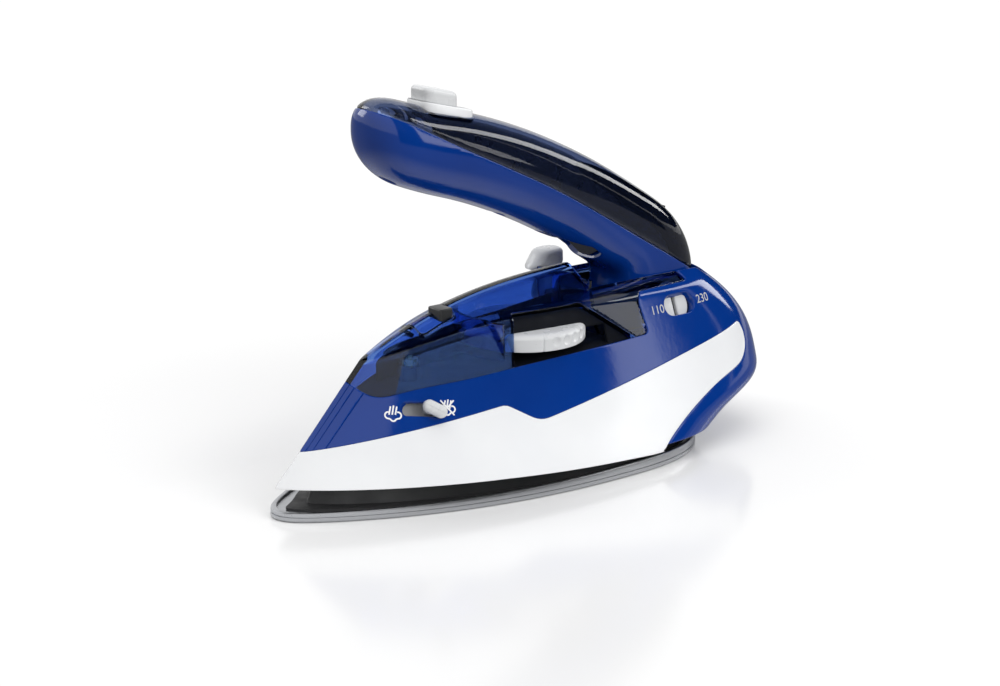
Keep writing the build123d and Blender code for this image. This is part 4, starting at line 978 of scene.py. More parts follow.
FREE_END = 30.0
LEAD_IN = (24.0, 27.0, FREE_END)
ROOT_ROWS = 60
UNDER = ((40, 69.3), (47, 64.9), (52.6, 60.2), (52.5, 54.5), (49.5, 49), (47.5, 44))
OVER = ((44, 102.3), (56, 95.2), (66, 88.9), (75, 82.6), (82.5, 75), (87.4, 66.5), (89.3, 57.5),
        (88, 49), (85, 42))


def root_line(lead, points):
    """Evenly spaced points of a root line that goes on smoothly from the grip."""
    line = curve_through([*lead, *points], 40)
    part = line[int(np.argmin(np.hypot(*(line - lead[-1]).T))):]
    run = run_along(part)
    at = np.linspace(0, 1, ROOT_ROWS + 1)[1:] * run[-1]
    return np.stack([np.interp(at, run, part[:, k]) for k in range(2)], 1)


def handle_stations():
    """Side-view (under, over, share, power) of the handle's sections from tip to root."""
    tip = [GRIP_TIP + TIP_ROUND * (1 - math.cos(turn)) for turn in np.radians(np.linspace(0, 90, 26))]
    stations = [(x, tip_share(x)) for x in tip]
    stations += [(x, 1.0) for x in np.linspace(GRIP_TIP + TIP_ROUND, FREE_END, 38)[1:]]
    rows = []
    for x, share in stations:
        half = grip_half(x) * share
        rows.append(((x, grip_middle(x) - half), (x, grip_middle(x) + half), share, GRIP_POWER))
    under = root_line([(x, grip_middle(x) - grip_half(x)) for x in LEAD_IN], UNDER)
    over = root_line([(x, grip_middle(x) + grip_half(x)) for x in LEAD_IN], OVER)
    for k, (low, high) in enumerate(zip(under, over)):
        rows.append((tuple(low), tuple(high), 1.0, GRIP_POWER + ROOT_POWER * min(1.0, (k + 1) / 34)))
    return rows


def section_ring(power, half_w, half_h):
    """(across, up) of a rounded section, evenly spaced, from the near side over the bottom."""
    turn = np.linspace(0, 2 * math.pi, 1441)
    across = np.sign(np.cos(turn)) * abs(np.cos(turn)) ** (2 / power) * half_w
    up = np.sign(np.sin(turn)) * abs(np.sin(turn)) ** (2 / power) * half_h
    run = np.concatenate([[0], np.cumsum(np.hypot(np.diff(across), np.diff(up)))])
    at = np.linspace(0, run[-1], RING_POINTS, endpoint=False)
    return np.interp(at, run, across), np.interp(at, run, up)


def handle_skin():
    """Whole handle surface before it is parted into shell and cover."""
    outer, inner = [], []
    for low, high, share, power in handle_stations():
        low, high = np.array(low), np.array(high)
        middle, half = (low + high) / 2, np.linalg.norm(high - low) / 2
        axis = (high - low) / (2 * half) if half > 1e-6 else np.array([0.0, 1.0])
        for store, inset in ((outer, 0.0), (inner, GRIP_WALL)):
            half_w, half_h = max(GRIP_HALF * share - inset, 0.0), max(half - inset, 0.0)
            across, up = section_ring(power, half_w + 1e-6, half_h + 1e-6)
            nudge = GRIP_WALL * (1 - share) if inset else 0.0
            store.append(np.stack([middle[0] + axis[0] * up + nudge, -across, middle[1] + axis[1] * up], 1))
    faces = []
    for start in range(0, (len(outer) - 1) * RING_POINTS, RING_POINTS):
        for j in range(RING_POINTS):
            a, b = start + j, start + (j + 1) % RING_POINTS
            c, d = b + RING_POINTS, a + RING_POINTS
            faces += [(a, c, b), (a, d, c)]
    return weld(np.concatenate(outer), np.concatenate(inner), faces)


split_over = inside_depth([*curve_through(SPLIT), (100, 200), (-62, 200)])
INLET_LEAN = math.radians(20)
INLET = np.array([73.0, 0.0, 76.5]), np.array([math.sin(INLET_LEAN), 0, math.cos(INLET_LEAN)])
INLET_R = 5.7
BURST = (-22.5, 0.0, 128.5)
BURST_OPEN = (7.6, 6.1)
TOP_LEAN = math.tan(math.radians(14.0))
SCREWS_AT = (-42.0, 4.0)
SCREW_HOLE = 3.1
SCREW_DEEP = 9
# Groove under the root: its ends, half width and widening, and its roof's place, height and fall
GROOVE = (21.8, 43.8)
GROOVE_HALF = (1.6, 0.43)
GROOVE_LIMITS = (0.5, 9.2)
CHANNEL = (26.0, 79.6, 0.306)
LINER = 1.0
LINING_EDGE = 0.1
LINING_THICK = 0.7
COVER_EDGE = 1.2
WINDOW = ((-43.5, 140), (-37.2, 130.9), (-31.3, 125.8), (-21.3, 116.2), (-14, 108), (100, 40), (100, 140))


def bore(points, foot, out, radius, deep):
    """Distance outside a bore that runs out from a foot and reaches some way behind it."""
    off = points - foot
    along = off @ out
    gap = np.linalg.norm(off - along[:, None] * out, axis=1) - radius
    return np.where(along > -deep, gap, FAR)


def inlet_hole(points):
    """Distance outside the cord inlet's opening in the cover."""
    return bore(points, *INLET, INLET_R, 0)


def burst_hole(points):
    """Distance outside the button's opening in the cover."""
    along = abs(points[:, 0] - BURST[0]) - BURST_OPEN[0]
    return np.where(points[:, 2] > 115, beyond_box(along, abs(points[:, 1]) - BURST_OPEN[1]), FAR)


def screw_axis(x):
    """Foot and outward direction of a screw in the handle's underside."""
    slope = (grip_middle(x + 1) - grip_half(x + 1)) - (grip_middle(x) - grip_half(x))
    out = np.array([slope, 0.0, -1.0])
    foot = np.array([x, 0.0, grip_middle(x) - grip_half(x) * tip_share(x)])
    return foot, out / np.linalg.norm(out)


def screw_holes(points):
    """Distance outside the screw holes in the handle's underside."""
    return np.minimum(*[bore(points, *screw_axis(x), SCREW_HOLE, SCREW_DEEP) for x in SCREWS_AT])


def channel_roof(x):
    """Height of the groove under the root that takes in the tank's ridge when the handle is down."""
    return CHANNEL[1] - (x - CHANNEL[0]) * CHANNEL[2]


def groove_half(x):
    """Half width of that groove, a wedge that widens towards the root."""
    return np.clip(GROOVE_HALF[0] + (x - GROOVE[0]) * GROOVE_HALF[1], *GROOVE_LIMITS)


def fold_groove(points):
    """Distance outside the groove's opening in the underside."""
    middle, reach = (GROOVE[0] + GROOVE[1]) / 2, (GROOVE[1] - GROOVE[0]) / 2
    gap = beyond_box(abs(points[:, 0] - middle) - reach, abs(points[:, 1]) - groove_half(points[:, 0]))
    return np.where(points[:, 2] < channel_roof(points[:, 0]) + LINER, gap, FAR)


def groove_liner():
    """Trough that closes the groove towards the inside of the handle."""
    rings = []
    for x in np.linspace(GROOVE[0], GROOVE[1], 16):
        half, top = float(groove_half(x)), float(channel_roof(x))
        wide, high = half + LINER, top + LINER
        bulge = (1 - (wide / GRIP_HALF) ** GRIP_POWER) ** (1 / GRIP_POWER)
        low = min(grip_middle(x) - grip_half(x) * bulge + 0.8, top - 0.3)
        section = [(-half, low), (-half, top), (half, top), (half, low), (wide, low), (wide, high),
                   (-wide, high), (-wide, low)]
        rings.append([(x, y, z) for y, z in section])
    low = grip_middle(GROOVE[1]) - grip_half(GROOVE[1]) + 1.2
    section = [(-wide, low + 4), (-2.5, low), (2.5, low), (wide, low + 4), (wide, high), (-wide, high)]
    stop = [[(x, y, z) for y, z in section] for x in (GROOVE[1] + 0.02, GROOVE[1] + LINER)]
    return joined(through(rings), through(stop))


def faced(foot, out, solid):
    """An upright solid turned so that its axis points out from a foot."""
    points, faces = solid
    turn = np.array(Vector((0, 0, 1)).rotation_difference(Vector(out)).to_matrix())
    return points @ turn.T + foot, faces


def cover_liner():
    """Dark inner lining of the smoky cover behind its clear front window."""
    lining = grip.copy()
    for measure in (split_over, inside_depth(WINDOW), inlet_hole, burst_hole):
        lining.trim(measure, LINING_EDGE)
    return lining.sink(GRIP_WALL + 0.15, LINING_THICK)


def window_backing():
    """Dark inner shell behind the ribs of the clear front."""
    backing = grip.copy().trim(split_over, LINING_EDGE).trim(outside(inside_depth(WINDOW)), LINING_EDGE)
    return backing.sink(GRIP_WALL + 1.6, LINING_THICK)


grip = handle_skin()
shell = grip.copy().trim(outside(split_over)).trim(screw_holes).trim(fold_groove)
new_piece("blue_handle_shell", *shell.solid(), BLUE, "handle", "blue_gloss", replaces=["handle_lower_shell"])
cover = grip.copy().trim(split_over).trim(inlet_hole, COVER_EDGE).trim(burst_hole)
new_piece("smoky_handle_cover", *cover.solid(COVER_EDGE), COVER, "handle", "smoke_clear",
          replaces=["handle_top_cover"])
new_piece("cover_lining", *cover_liner().solid(LINING_EDGE), LINING, "handle", "smoke_clear")
new_piece("window_backing", *window_backing().solid(LINING_EDGE), LINING, "handle", "black_plastic")
# The groove liner's dark navy is painted shade: it makes the groove under the root read as a shadowed slot.
new_piece("groove_liner", *groove_liner(), LINING, "handle", "black_plastic")
plug = lathe([(0.6, -11), (4.4, -11), (4.4, -2.0), (SCREW_HOLE, -2.0), (SCREW_HOLE, -4.9), (0.6, -4.9)], 40)
posts = joined(*[faced(*screw_axis(x), plug) for x in SCREWS_AT])
new_piece("screw_posts", *posts, BLUE, "handle", "blue_gloss")


# Dial, slider, selector and buttons
DIMPLE_R = 1.75
DIMPLE_DEEP = 0.85
INDEX_AT = math.radians(-111)
INDEX_DEEP = 0.35


def dial_body():
    """Dial disc with a chamfered rim, finger dimples and one index groove."""
    segments = 480
    turn = np.linspace(0, 2 * math.pi, segments, endpoint=False)

    def along_rim(at):
        return ((turn - at + math.pi) % (2 * math.pi) - math.pi) * DIAL_R

    side = np.linspace(DIAL_FOOT + 0.5, DIAL_TOP - 1.5, 20)
    rings = [(DIAL_R - 3.0, DIAL_FOOT), (DIAL_R - 0.5, DIAL_FOOT), (DIAL_R - 0.12, DIAL_FOOT + 0.14)]
    rings += [(DIAL_R, z) for z in side]
    rim = ((0.25, 1.05), (0.9, 0.45), (1.7, 0.1), (2.4, 0), (8, 0), (15, 0))
    rings += [(DIAL_R - inset, DIAL_TOP - drop) for inset, drop in rim]
    dimples = np.radians(np.arange(-98, 170, 12.0))
    middle = (DIAL_FOOT + DIAL_TOP) / 2 + 0.1
    points = []
    for r, z in rings:
        dent = np.zeros(segments)
        if r > DIAL_R - 0.4:
            for at in dimples:
                far = np.hypot(along_rim(at), z - middle) / DIMPLE_R
                dent = np.maximum(dent, DIMPLE_DEEP * np.clip(1 - far**2, 0, None))
        if r > DIAL_R - 3:
            off = abs(along_rim(INDEX_AT)) / INDEX_DEEP
            dent = np.maximum(dent, INDEX_DEEP * np.clip(1 - off, 0, None))
        x, y = DIAL[0] + (r - dent) * np.cos(turn), DIAL[1] + (r - dent) * np.sin(turn)
        points.append(np.stack([x, y, np.full(segments, z)], 1))
    return through(points)


new_piece("white_dial", *dial_body(), CONTROL, "dial", "white_gloss", sharp=50, replaces=["temperature_dial"])


def on_wall(plane, solid):
    """A flat-made solid stood on a control's plane: its x along, y up, z out."""
    points, faces = solid
    return plane_points(plane, points), faces


KNOB_AT = 3.25
KNOB_TURN = math.radians(-24)
KNOB_SHIFT = (0.5, 0.1)
KNOB_CAP = [(-0.5, 0.75), (-0.1, 0.9), (0, 1.2), (0, 2.3), (-0.15, 2.9), (-0.55, 3.4), (-1.2, 3.7)]
stem = loop_prism(pill(5.2, 3.0, 1.4), [(0, -3.9), (0, 1.4)])
cap, cap_faces = loop_prism(pill(8.6, 4.3, 2.1, 10), KNOB_CAP)
turned = np.array([[math.cos(KNOB_TURN), -math.sin(KNOB_TURN)], [math.sin(KNOB_TURN), math.cos(KNOB_TURN)]])
cap[:, :2] = cap[:, :2] @ turned.T + KNOB_SHIFT
knob, knob_faces = joined(stem, (cap, cap_faces))
new_piece("slider_knob", *on_wall(SLIDER, (knob + (KNOB_AT, 0, 0), knob_faces)), CONTROL, "slider",
          "white_gloss", sharp=50, replaces=["steam_slider"])
shutter, shutter_faces = loop_prism(pill(29.0, 6.4, 1.0), [(0, -4.7), (0, -3.9)])
new_piece("slot_shutter", *on_wall(SLIDER, (shutter + (KNOB_AT, 0, 0), shutter_faces)), PALE, "slider",
          "white_gloss")

disc = lathe([(0.6, -3.9), (SELECTOR_R - 0.2, -3.9), (SELECTOR_R, -3.7), (SELECTOR_R, -2.9), (0.6, -2.9)])
half_disc = arc((0.0, 0.0), SELECTOR_R - 0.1, -83, 83, 30)
half = loop_prism(half_disc, [(0, -3.0), (0, -1.9), (-0.15, -1.6), (-0.5, -1.45)])
other = half[0] * (-1, -1, 1), half[1]
new_piece("selector_disc", *on_wall(SELECTOR, joined(disc, half, other)), CONTROL, "selector",
          "white_gloss", sharp=50, replaces=["voltage_selector"])
# Thin dark plate on the floor of the selector's coin slot: painted shade for the narrow slot.
slot_shade = loop_prism(pill(1.2, 11.6, 0.4), [(0, -2.95), (0, -2.75)])
new_piece("selector_slot_shade", *on_wall(SELECTOR, slot_shade), DARK, "selector", "black_plastic")
well_in, well_out = SELECTOR_R + 0.8, SELECTOR_R + 1.5
well = lathe([(0.6, -5.4), (well_out, -5.4), (well_out, -1.7), (well_in, -1.7), (well_in, -4.8), (0.6, -4.8)])
new_piece("selector_well", *on_wall(SELECTOR, well), INNER_BLUE, "base", "blue_gloss")

RELEASE = (40.5, 18.6)
RELEASE_NECK = (49.0, 55.0, 59.6)
NECK_R = 3.9
# Height of each level of the thumb button, and how far its rim is drawn in there
RELEASE_HEAD = ((60.6, 1.0), (61.4, 0.2), (62.4, 0.0), (63.6, 0.0), (64.8, 0.0), (65.8, 0.0), (66.4, 0.25),
                (66.8, 0.7), (67.0, 1.3))
RELEASE_WIDE = 8.6


def release_head(z, trim):
    """Wedge-shaped outline of the thumb button, with a flared front and an upright back."""
    rise = np.clip((z - RELEASE_HEAD[0][0]) / 6.2, 0, 1)
    front, back = RELEASE[0] - 7.6 + 5.0 * rise**0.75, RELEASE[0] + 8.3 - 0.3 * rise
    length, width = back - front - 2 * trim, RELEASE_WIDE - 2 * trim
    outline = pill(length, width, min(3.6, width / 2 - 0.1), 8)
    return grown(outline, 0.0, z) + ((front + back) / 2, RELEASE[1], 0)


neck = [np.roll(circle(NECK_R, z, 32, RELEASE), 8, axis=0) for z in RELEASE_NECK]
thumb = through(neck + [release_head(z, trim) for z, trim in RELEASE_HEAD])
new_piece("release_thumb", *thumb, CONTROL, "release", "white_gloss", sharp=45, replaces=["release_button"])


def lean_with_grip(points):
    """Points about the button's middle, slanted as the grip's top is and set in their place."""
    return points + np.outer(points[:, 0] * -TOP_LEAN, (0, 0, 1)) + BURST


def burst_cap():
    """Burst button with a soft rim and a shallow dished top that follows the grip."""
    outline = pill(13.4, 11.0, 3.0, 10)
    levels = [(0.0, 3.6), (-0.12, 4.3), (-0.5, 4.9), (-1.1, 5.3), (-2.2, 5.45), (-3.6, 5.3), (-4.8, 5.15)]
    foot = grown(outline, 0.0, -6.0) + BURST
    return through([foot] + [lean_with_grip(grown(outline, grow, z)) for grow, z in levels])


def bezel_plate():
    """White plate round the burst button, lying on the cover."""
    outer, hole = pill(20.4, 13.6, 3.8, 10), pill(14.4, 12.0, 3.2, 10)
    rim = ((0.0, -3.2), (0.0, 0.0), (-0.2, 0.35), (-0.7, 0.55))
    lip = ((0.5, 0.6), (0.1, 0.45), (0.0, 0.1), (0.0, -3.2))
    rings = [grown(outer, grow, z) + (2.5, 0, 0) for grow, z in rim]
    rings += [grown(hole, grow, z) for grow, z in lip]
    return through([lean_with_grip(ring) for ring in rings], shut=True)


new_piece("burst_cap", *burst_cap(), CONTROL, "burst", "white_gloss", sharp=50, replaces=["burst_button"])
new_piece("white_bezel", *bezel_plate(), WHITE, "handle", "white_gloss", sharp=50, replaces=["button_bezel"])


# Printed marks on the walls
MARK_LINE = 0.5
NUMBER_HEIGHT = 4.2


def on_skin(plane, flat, proud):
    """Points of a mark laid on the near wall, standing proud of it."""
    points = plane_points(plane, np.column_stack([flat, np.zeros(len(flat))]))
    points[:, 1] = -np.array([float(wall_y(x, z)) for x, _, z in points]) - proud
    return points


def stroke(plane, path, width):
    """Thin raised line along a path on the wall."""
    path = np.array(path, float)
    run = np.gradient(path, axis=0)
    side = np.stack([-run[:, 1], run[:, 0]], 1) / (np.linalg.norm(run, axis=1)[:, None] + 1e-9) * width / 2
    corners = ((1, -0.3), (-1, -0.3), (-1, 0.07), (1, 0.07))
    return through(np.stack([on_skin(plane, path + way * side, proud) for way, proud in corners], 1))


def straight(start, end, steps=6):
    """Points of a flat straight line."""
    return list(np.linspace(start, end, steps))


def steam_mark(place, barred):
    """Cloud with three plumes, with a bar across it for the closed setting."""
    middle = on_plane(SLIDER, np.array([place], float))[0, :2]
    cloud = arc((-1.65, -0.9), 1.05, 75, 275) + arc((0.0, -1.75), 1.0, 205, 335)
    cloud += arc((1.65, -0.9), 1.05, -95, 105)
    lines = [cloud]
    lines += [straight((x - 0.35, -0.7), (x + 0.25, 2.3 - 0.3 * abs(x))) for x in (-1.0, 0.05, 1.1)]
    if barred:
        lines += [straight((-2.5, 2.0), (2.4, -2.8)), straight((2.3, 2.0), (-2.2, -2.6))]
    return [stroke(SLIDER, np.array(line) + middle, MARK_LINE) for line in lines]


def made_plain(holder):
    """Mesh that an object has in the end, once the object itself is gone."""
    mesh = bpy.data.meshes.new_from_object(holder.evaluated_get(bpy.context.evaluated_depsgraph_get()))
    bpy.data.objects.remove(holder)
    return mesh


def number_mark(text, place):
    """Plain numerals laid on the wall beside the selector."""
    curve = bpy.data.curves.new(text, "FONT")
    curve.body, curve.size, curve.extrude = text, NUMBER_HEIGHT, 0.1
    curve.align_x, curve.align_y = "CENTER", "CENTER"
    mesh = made_plain(placed(text, curve))
    flat = np.array([v.co for v in mesh.vertices])
    faces = [tuple(p.vertices) for p in mesh.polygons]
    spot = flat[:, :2] + on_plane(SELECTOR, np.array([place], float))[0, :2]
    low, high = on_skin(SELECTOR, spot, -0.25), on_skin(SELECTOR, spot, 0.06)
    return joined((np.where(flat[:, 2:] > 0, high, low), faces))


marks = steam_mark((-50.1, -11.6, 31.6), False) + steam_mark((-32.3, -18.6, 31.5), True)
new_piece("steam_marks", *joined(*marks), MARK, "base", "white_gloss")
numbers = joined(number_mark("110", (57.2, -23.4, 50.4)), number_mark("230", (79.6, -20.6, 49.8)))
new_piece("volt_numbers", *numbers, PALE, "base", "white_gloss")


# Repeated pieces grown by geometry nodes
class Recipe:
    """Node tree with named sizes that grows one piece from a few points."""

    def __init__(self, name):
        self.tree = bpy.data.node_groups.new(name, "GeometryNodeTree")
        self.tree.interface.new_socket("Geometry", in_out="INPUT", socket_type="NodeSocketGeometry")
        self.tree.interface.new_socket("Geometry", in_out="OUTPUT", socket_type="NodeSocketGeometry")
        self.given = self.tree.nodes.new("NodeGroupInput")
        self.result = self.tree.nodes.new("NodeGroupOutput")
        self.sizes = {}

    def size(self, name, value, kind="NodeSocketFloat"):
        """Named input and its socket inside the tree."""
        socket = self.tree.interface.new_socket(name, in_out="INPUT", socket_type=kind)
        self.sizes[socket.identifier] = value
        return self.given.outputs[name]

    def add(self, kind, settings=(), **inputs):
        """New node with inputs from sockets or plain values."""
        named = {key.replace("_", " "): value for key, value in inputs.items()}
        return add_node(self.tree, kind, named, **dict(settings))

    def stand(self, instance, **inputs):
        """A shape stood on each of the given points."""
        return self.add("GeometryNodeInstanceOnPoints", Points=self.given.outputs["Geometry"],
                        Instance=instance, **inputs).outputs[0]

    def grow(self, geometry, points, material, body, slot, replaces=(), axes=None, scales=None):
        """Runs the tree on the points and keeps the outcome as a plain piece."""
        real = self.add("GeometryNodeRealizeInstances", Geometry=geometry)
        paint = self.add("GeometryNodeSetMaterial", Geometry=real.outputs[0], Material=material)
        self.tree.links.new(paint.outputs[0], self.result.inputs[0])
        seed = flat_mesh(self.tree.name, points, [])
        for name, values in (("axis", axes), ("stretch", scales)):
            if values is not None:
                spread = seed.attributes.new(name, "FLOAT_VECTOR", "POINT")
                spread.data.foreach_set("vector", np.ravel(values))
        holder = placed(self.tree.name, seed)
        modifier = holder.modifiers.new("grow", "NODES")
        modifier.node_group = self.tree
        for identifier, value in self.sizes.items():
            modifier[identifier] = value
        mesh = made_plain(holder)
        mesh.materials.clear()
        mesh.polygons.foreach_set("material_index", [0] * len(mesh.polygons))
        return settle(self.tree.name, mesh, material, body, 40, replaces)


RIBS = (-48.6, -31.0, 2.8)
RIB_GAP = 0.3
SCREW_ARM = (3.4, 0.75, 1.6)
SCREW_SUNK = 3.9


def coil_spring(name, foot, radius, wire, turns, height, body, node):
    """Wire coil standing on its foot."""
    recipe = Recipe(name)
    reach = recipe.size("Coil radius", radius * MM)
    wind = recipe.add("GeometryNodeCurveSpiral", Resolution=28, Rotations=recipe.size("Turns", turns),
                      Start_Radius=reach, End_Radius=reach, Height=recipe.size("Height", height * MM))
    round_wire = recipe.add("GeometryNodeCurvePrimitiveCircle", Resolution=10,
                            Radius=recipe.size("Wire", wire * MM))
    swept = recipe.add("GeometryNodeCurveToMesh", Curve=wind.outputs[0],
                       Profile_Curve=round_wire.outputs[0], Fill_Caps=True)
    coil = recipe.grow(recipe.stand(swept.outputs[0]), [foot], STEEL, body, "steel", [node])
    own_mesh(coil)


def cover_ribs():
    """Row of pale stiffening ribs inside the cover's clear front."""
    recipe = Recipe("window_ribs")
    disc = recipe.add("GeometryNodeMeshCylinder", Vertices=48, Radius=recipe.size("Rib radius", MM),
                      Depth=recipe.size("Rib thickness", 1.9 * MM))
    stretch = recipe.add("GeometryNodeInputNamedAttribute", {"data_type": "FLOAT_VECTOR"}, Name="stretch")
    row = recipe.stand(disc.outputs["Mesh"], Rotation=(0.0, math.pi / 2, 0.0),
                       Scale=stretch.outputs["Attribute"])
    at = np.arange(*RIBS)
    inset = GRIP_WALL + RIB_GAP
    scales = [(grip_half(x) * tip_share(x) - inset, GRIP_HALF * tip_share(x) - inset, 1.0) for x in at]
    places = [(x, 0, grip_middle(x)) for x in at]
    recipe.grow(row, places, PALE, "handle", "black_plastic", scales=scales)


def handle_screws():
    """Cross-head screws sunk in the handle's underside."""
    recipe = Recipe("cross_head_screws")
    head = recipe.add("GeometryNodeMeshCylinder", Vertices=40, Radius=recipe.size("Head radius", 2.6 * MM),
                      Depth=recipe.size("Head height", 1.8 * MM))
    arms = recipe.add("GeometryNodeJoinGeometry")
    long, thick, high = (size * MM for size in SCREW_ARM)
    for across in ((long, thick, high), (thick, long, high)):
        arm = recipe.add("GeometryNodeMeshCube", Size=across)
        raised = recipe.add("GeometryNodeTransform", Geometry=arm.outputs["Mesh"],
                            Translation=(0.0, 0.0, 0.9 * MM))
        recipe.tree.links.new(raised.outputs[0], arms.inputs[0])
    crossed = recipe.add("GeometryNodeMeshBoolean", {"operation": "DIFFERENCE", "solver": "EXACT"})
    recipe.tree.links.new(head.outputs["Mesh"], crossed.inputs["Mesh 1"])
    recipe.tree.links.new(arms.outputs[0], crossed.inputs["Mesh 2"])
    crossed.inputs["Self Intersection"].default_value = True
    axis = recipe.add("GeometryNodeInputNamedAttribute", {"data_type": "FLOAT_VECTOR"}, Name="axis")
    lean = recipe.add("FunctionNodeAlignRotationToVector", {"axis": "Z"}, Vector=axis.outputs["Attribute"])
    sunk = recipe.stand(crossed.outputs["Mesh"], Rotation=lean.outputs[0])
    feet = [screw_axis(x) for x in SCREWS_AT]
    recipe.grow(sunk, [foot - SCREW_SUNK * out for foot, out in feet], STEEL, "handle", "steel",
                ["handle_screws"], axes=[out for _, out in feet])


coil_spring("release_coil", (*RELEASE, 44.6), radius=2.8, wire=0.38, turns=4.0, height=4.1,
            body="base", node="release_spring")
coil_spring("pump_coil", (*BURST[:2], 108.9), radius=3.9, wire=0.4, turns=3.0, height=2.8,
            body="handle", node="pump_spring")
cover_ribs()
handle_screws()

# Finishes of the frame's own parts
FINISH = {
    BLACK: ["heat_shield", "chassis", "voltage_switch", "switch_post", "cord_clamp", "lock_tongue",
            "thermal_fuse"],
    DARK: ["handle_frame", "pump_body", "pump_piston", "drip_valve", "dial_shaft", "lid_pin", "hinge_yoke"],
    RUBBER: ["chamber_seal", "cord_gland"],
    MICA: ["insulation_mat", "terminal_block"],
    STEEL: ["heating_element", "heater_posts", "steam_chamber_cover", "chamber_cover_screws",
            "shield_screw", "hinge_pin", "yoke_screws", "clamp_screws", "thermostat"],
    BRASS: ["valve_needle", "hinge_bushes"],
    PALE: ["slider_plate", "handle_tube"],
    LEAD_SLEEVE: ["body_leads"],
    AMBER: ["pilot_lamp"],
}
for finish, nodes in FINISH.items():
    for node in nodes:
        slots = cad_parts[node].data.materials
        for k in range(len(slots)):
            slots[k] = finish
        if not slots:
            slots.append(finish)

# Camera, stage and light
def aimed(thing, at, way):
    """Sets a camera or a lamp in its place, looking along a direction."""
    thing.location = Vector(at) * MM
    thing.rotation_mode = "QUATERNION"
    thing.rotation_quaternion = Vector(way).to_track_quat("-Z", "Y")


camera = placed("photo_camera", bpy.data.cameras.new("photo_camera"))
aimed(camera, CAMERA_AT, -Vector(CAMERA_BACK))
camera.data.lens = LENS
camera.data.sensor_width = 36.0
camera.data.clip_start, camera.data.clip_end = 0.01, 20.0
bpy.context.scene.camera = camera
bpy.context.scene.view_settings.view_transform = "Standard"


def soft_light(name, at, aim, size, power, mirrored=True):
    """Large studio light aimed at a point, seen or not seen in reflections."""
    lamp = placed(name, bpy.data.lights.new(name, "AREA"))
    aimed(lamp, at, Vector(aim) - Vector(at))
    lamp.data.shape = "RECTANGLE"
    lamp.data.size, lamp.data.size_y = size[0] * MM, size[1] * MM
    lamp.data.energy = power
    lamp.visible_glossy = mirrored


def sum_up(tree, operation, one, two):
    """Outcome of a sum with two values."""
    return add_node(tree, "ShaderNodeMath", {0: one, 1: two}, operation=operation).outputs[0]


def shown(tree, mirrored=True):
    """One for rays that show the background, straight, through clear plastic or mirrored."""
    path = add_node(tree, "ShaderNodeLightPath").outputs
    seen = sum_up(tree, "MAXIMUM", path["Is Camera Ray"], path["Is Transmission Ray"])
    return sum_up(tree, "MAXIMUM", seen, path["Is Glossy Ray"]) if mirrored else seen


def mapped(tree, source, low, high, near=0.0, far=1.0, course="LINEAR"):
    """Value that runs from low to high while its source runs from near to far."""
    ends = {"Value": source, "From Min": near, "From Max": far, "To Min": low, "To Max": high}
    return add_node(tree, "ShaderNodeMapRange", ends, interpolation_type=course).outputs["Result"]


WORLD_DIM = 0.46
world = bpy.data.worlds.new("studio")
bpy.context.scene.world = world
world.use_nodes = True
sky = world.node_tree
set_inputs(sky, sky.nodes["Background"], {
    "Color": (1, 1, 1, 1),
    "Strength": mapped(sky, shown(sky), WORLD_DIM, 1.0),
})


def reflection_card(name, corners, glow=0.0):
    """Black or glowing studio card that only mirror reflections see."""
    mesh = flat_mesh(name, corners, [(0, 1, 2, 3)])
    card = placed(name, mesh)
    finish, tree, surface = shader(name)
    set_inputs(tree, surface, {
        "Base Color": (0.0, 0.0, 0.0, 1),
        "Specular IOR Level": 0.0,
        "Emission Color": (1.0, 1.0, 1.0, 1),
        "Emission Strength": glow,
    })
    mesh.materials.append(finish)
    card.visible_camera = card.visible_diffuse = card.visible_shadow = card.visible_transmission = False


reflection_card("side_card", ((-150, -634, 0), (800, -520, 0), (800, -520, 1000), (-150, -634, 1000)))
reflection_card("right_card", ((1300, -800, 130), (1300, 700, 130), (1300, 700, 1500), (1300, -800, 1500)))
reflection_card("top_card", ((-600, -600, 1200), (900, -600, 1200), (900, 600, 1200), (-600, 600, 1200)))
reflection_card("cover_strip", ((580, -357, 679), (588, -463, 587), (806, -94, 183), (798, 12, 275)), 6.0)
reflection_card("flank_strip", ((390, -515, 90), (510, -500, 90), (510, -500, 520), (390, -515, 520)), 2.6)

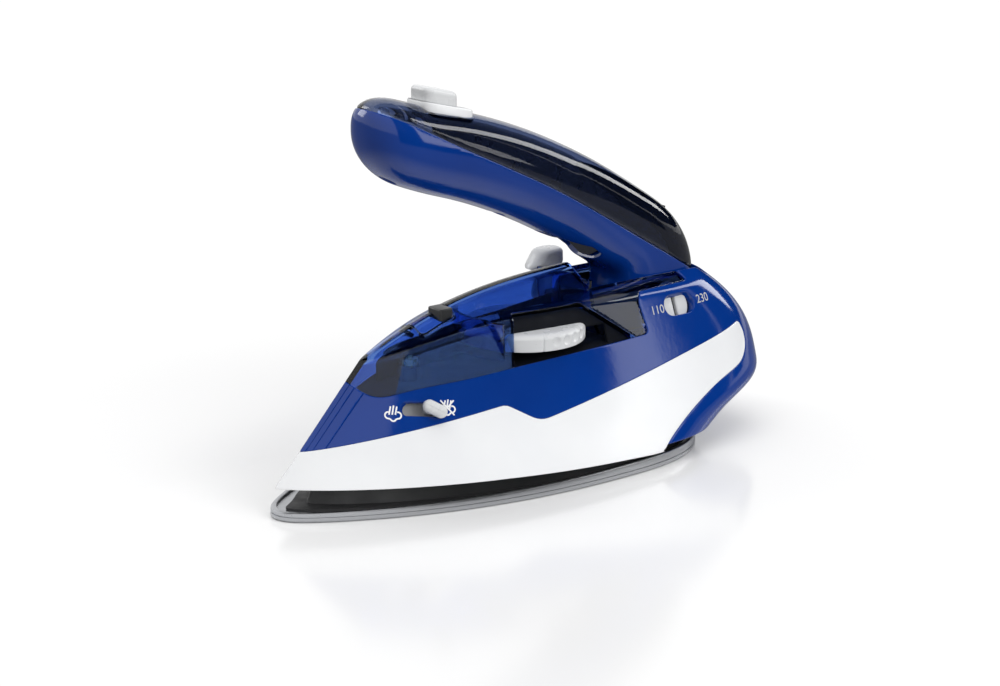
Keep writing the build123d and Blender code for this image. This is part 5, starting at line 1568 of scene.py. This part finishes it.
# Floor: lit near the iron and plain white farther off, with its reaches in metres
FLOOR_REACH = 6000
FLOOR_GREY = 0.86
FLOOR_DIM = 0.30
FLOOR_LIT = (0.06, 0.24)
POLISH = 0.5
POLISH_REACH = (0.15, 0.30)
POLISH_SIDE = (-0.02, 0.06)
BACKDROP = (1.02, 0.86)
corners = [(x * FLOOR_REACH, y * FLOOR_REACH, 0) for x, y in ((-1, -1), (1, -1), (1, 1), (-1, 1))]
floor_mesh = flat_mesh("pale_floor", corners, [(0, 1, 2, 3)])
floor = placed("pale_floor", floor_mesh)
floor_finish, tree, surface = shader("pale_floor")
place = add_node(tree, "ShaderNodeTexCoord").outputs["Object"]
reach = add_node(tree, "ShaderNodeVectorMath", {0: place}, operation="LENGTH").outputs["Value"]
side = add_node(tree, "ShaderNodeSeparateXYZ", {0: place}).outputs["Y"]
# It is polished in front of the iron and matt behind it.
near_iron = mapped(tree, reach, POLISH, 0.0, *POLISH_REACH, "SMOOTHSTEP")
polish = sum_up(tree, "MULTIPLY", near_iron, mapped(tree, side, 1.0, 0.0, *POLISH_SIDE, "SMOOTHSTEP"))
white = sum_up(tree, "MULTIPLY", mapped(tree, reach, 0.0, 1.0, *FLOOR_LIT, "SMOOTHSTEP"),
               mapped(tree, polish, *BACKDROP, 0.0, POLISH))
seen_white = mapped(tree, shown(tree, False), FLOOR_DIM, 1.0)
set_inputs(tree, surface, {
    "Base Color": mapped(tree, reach, FLOOR_GREY, 0.0, *FLOOR_LIT, "SMOOTHSTEP"),
    "Roughness": 0.16,
    "Specular IOR Level": polish,
    "Emission Color": (1.0, 1.0, 1.0, 1),
    "Emission Strength": sum_up(tree, "MULTIPLY", white, seen_white),
})
floor_mesh.materials.append(floor_finish)

soft_light("top_softbox", at=(0, -40, 900), aim=(0, 0, 0), size=(900, 900), power=5.0, mirrored=False)
soft_light("front_fill", at=(150, -1000, 520), aim=(10, 0, 40), size=(700, 500), power=5.4, mirrored=False)
soft_light("back_rim", at=(-420, 620, 420), aim=(-20, 0, 60), size=(300, 300), power=1.4)
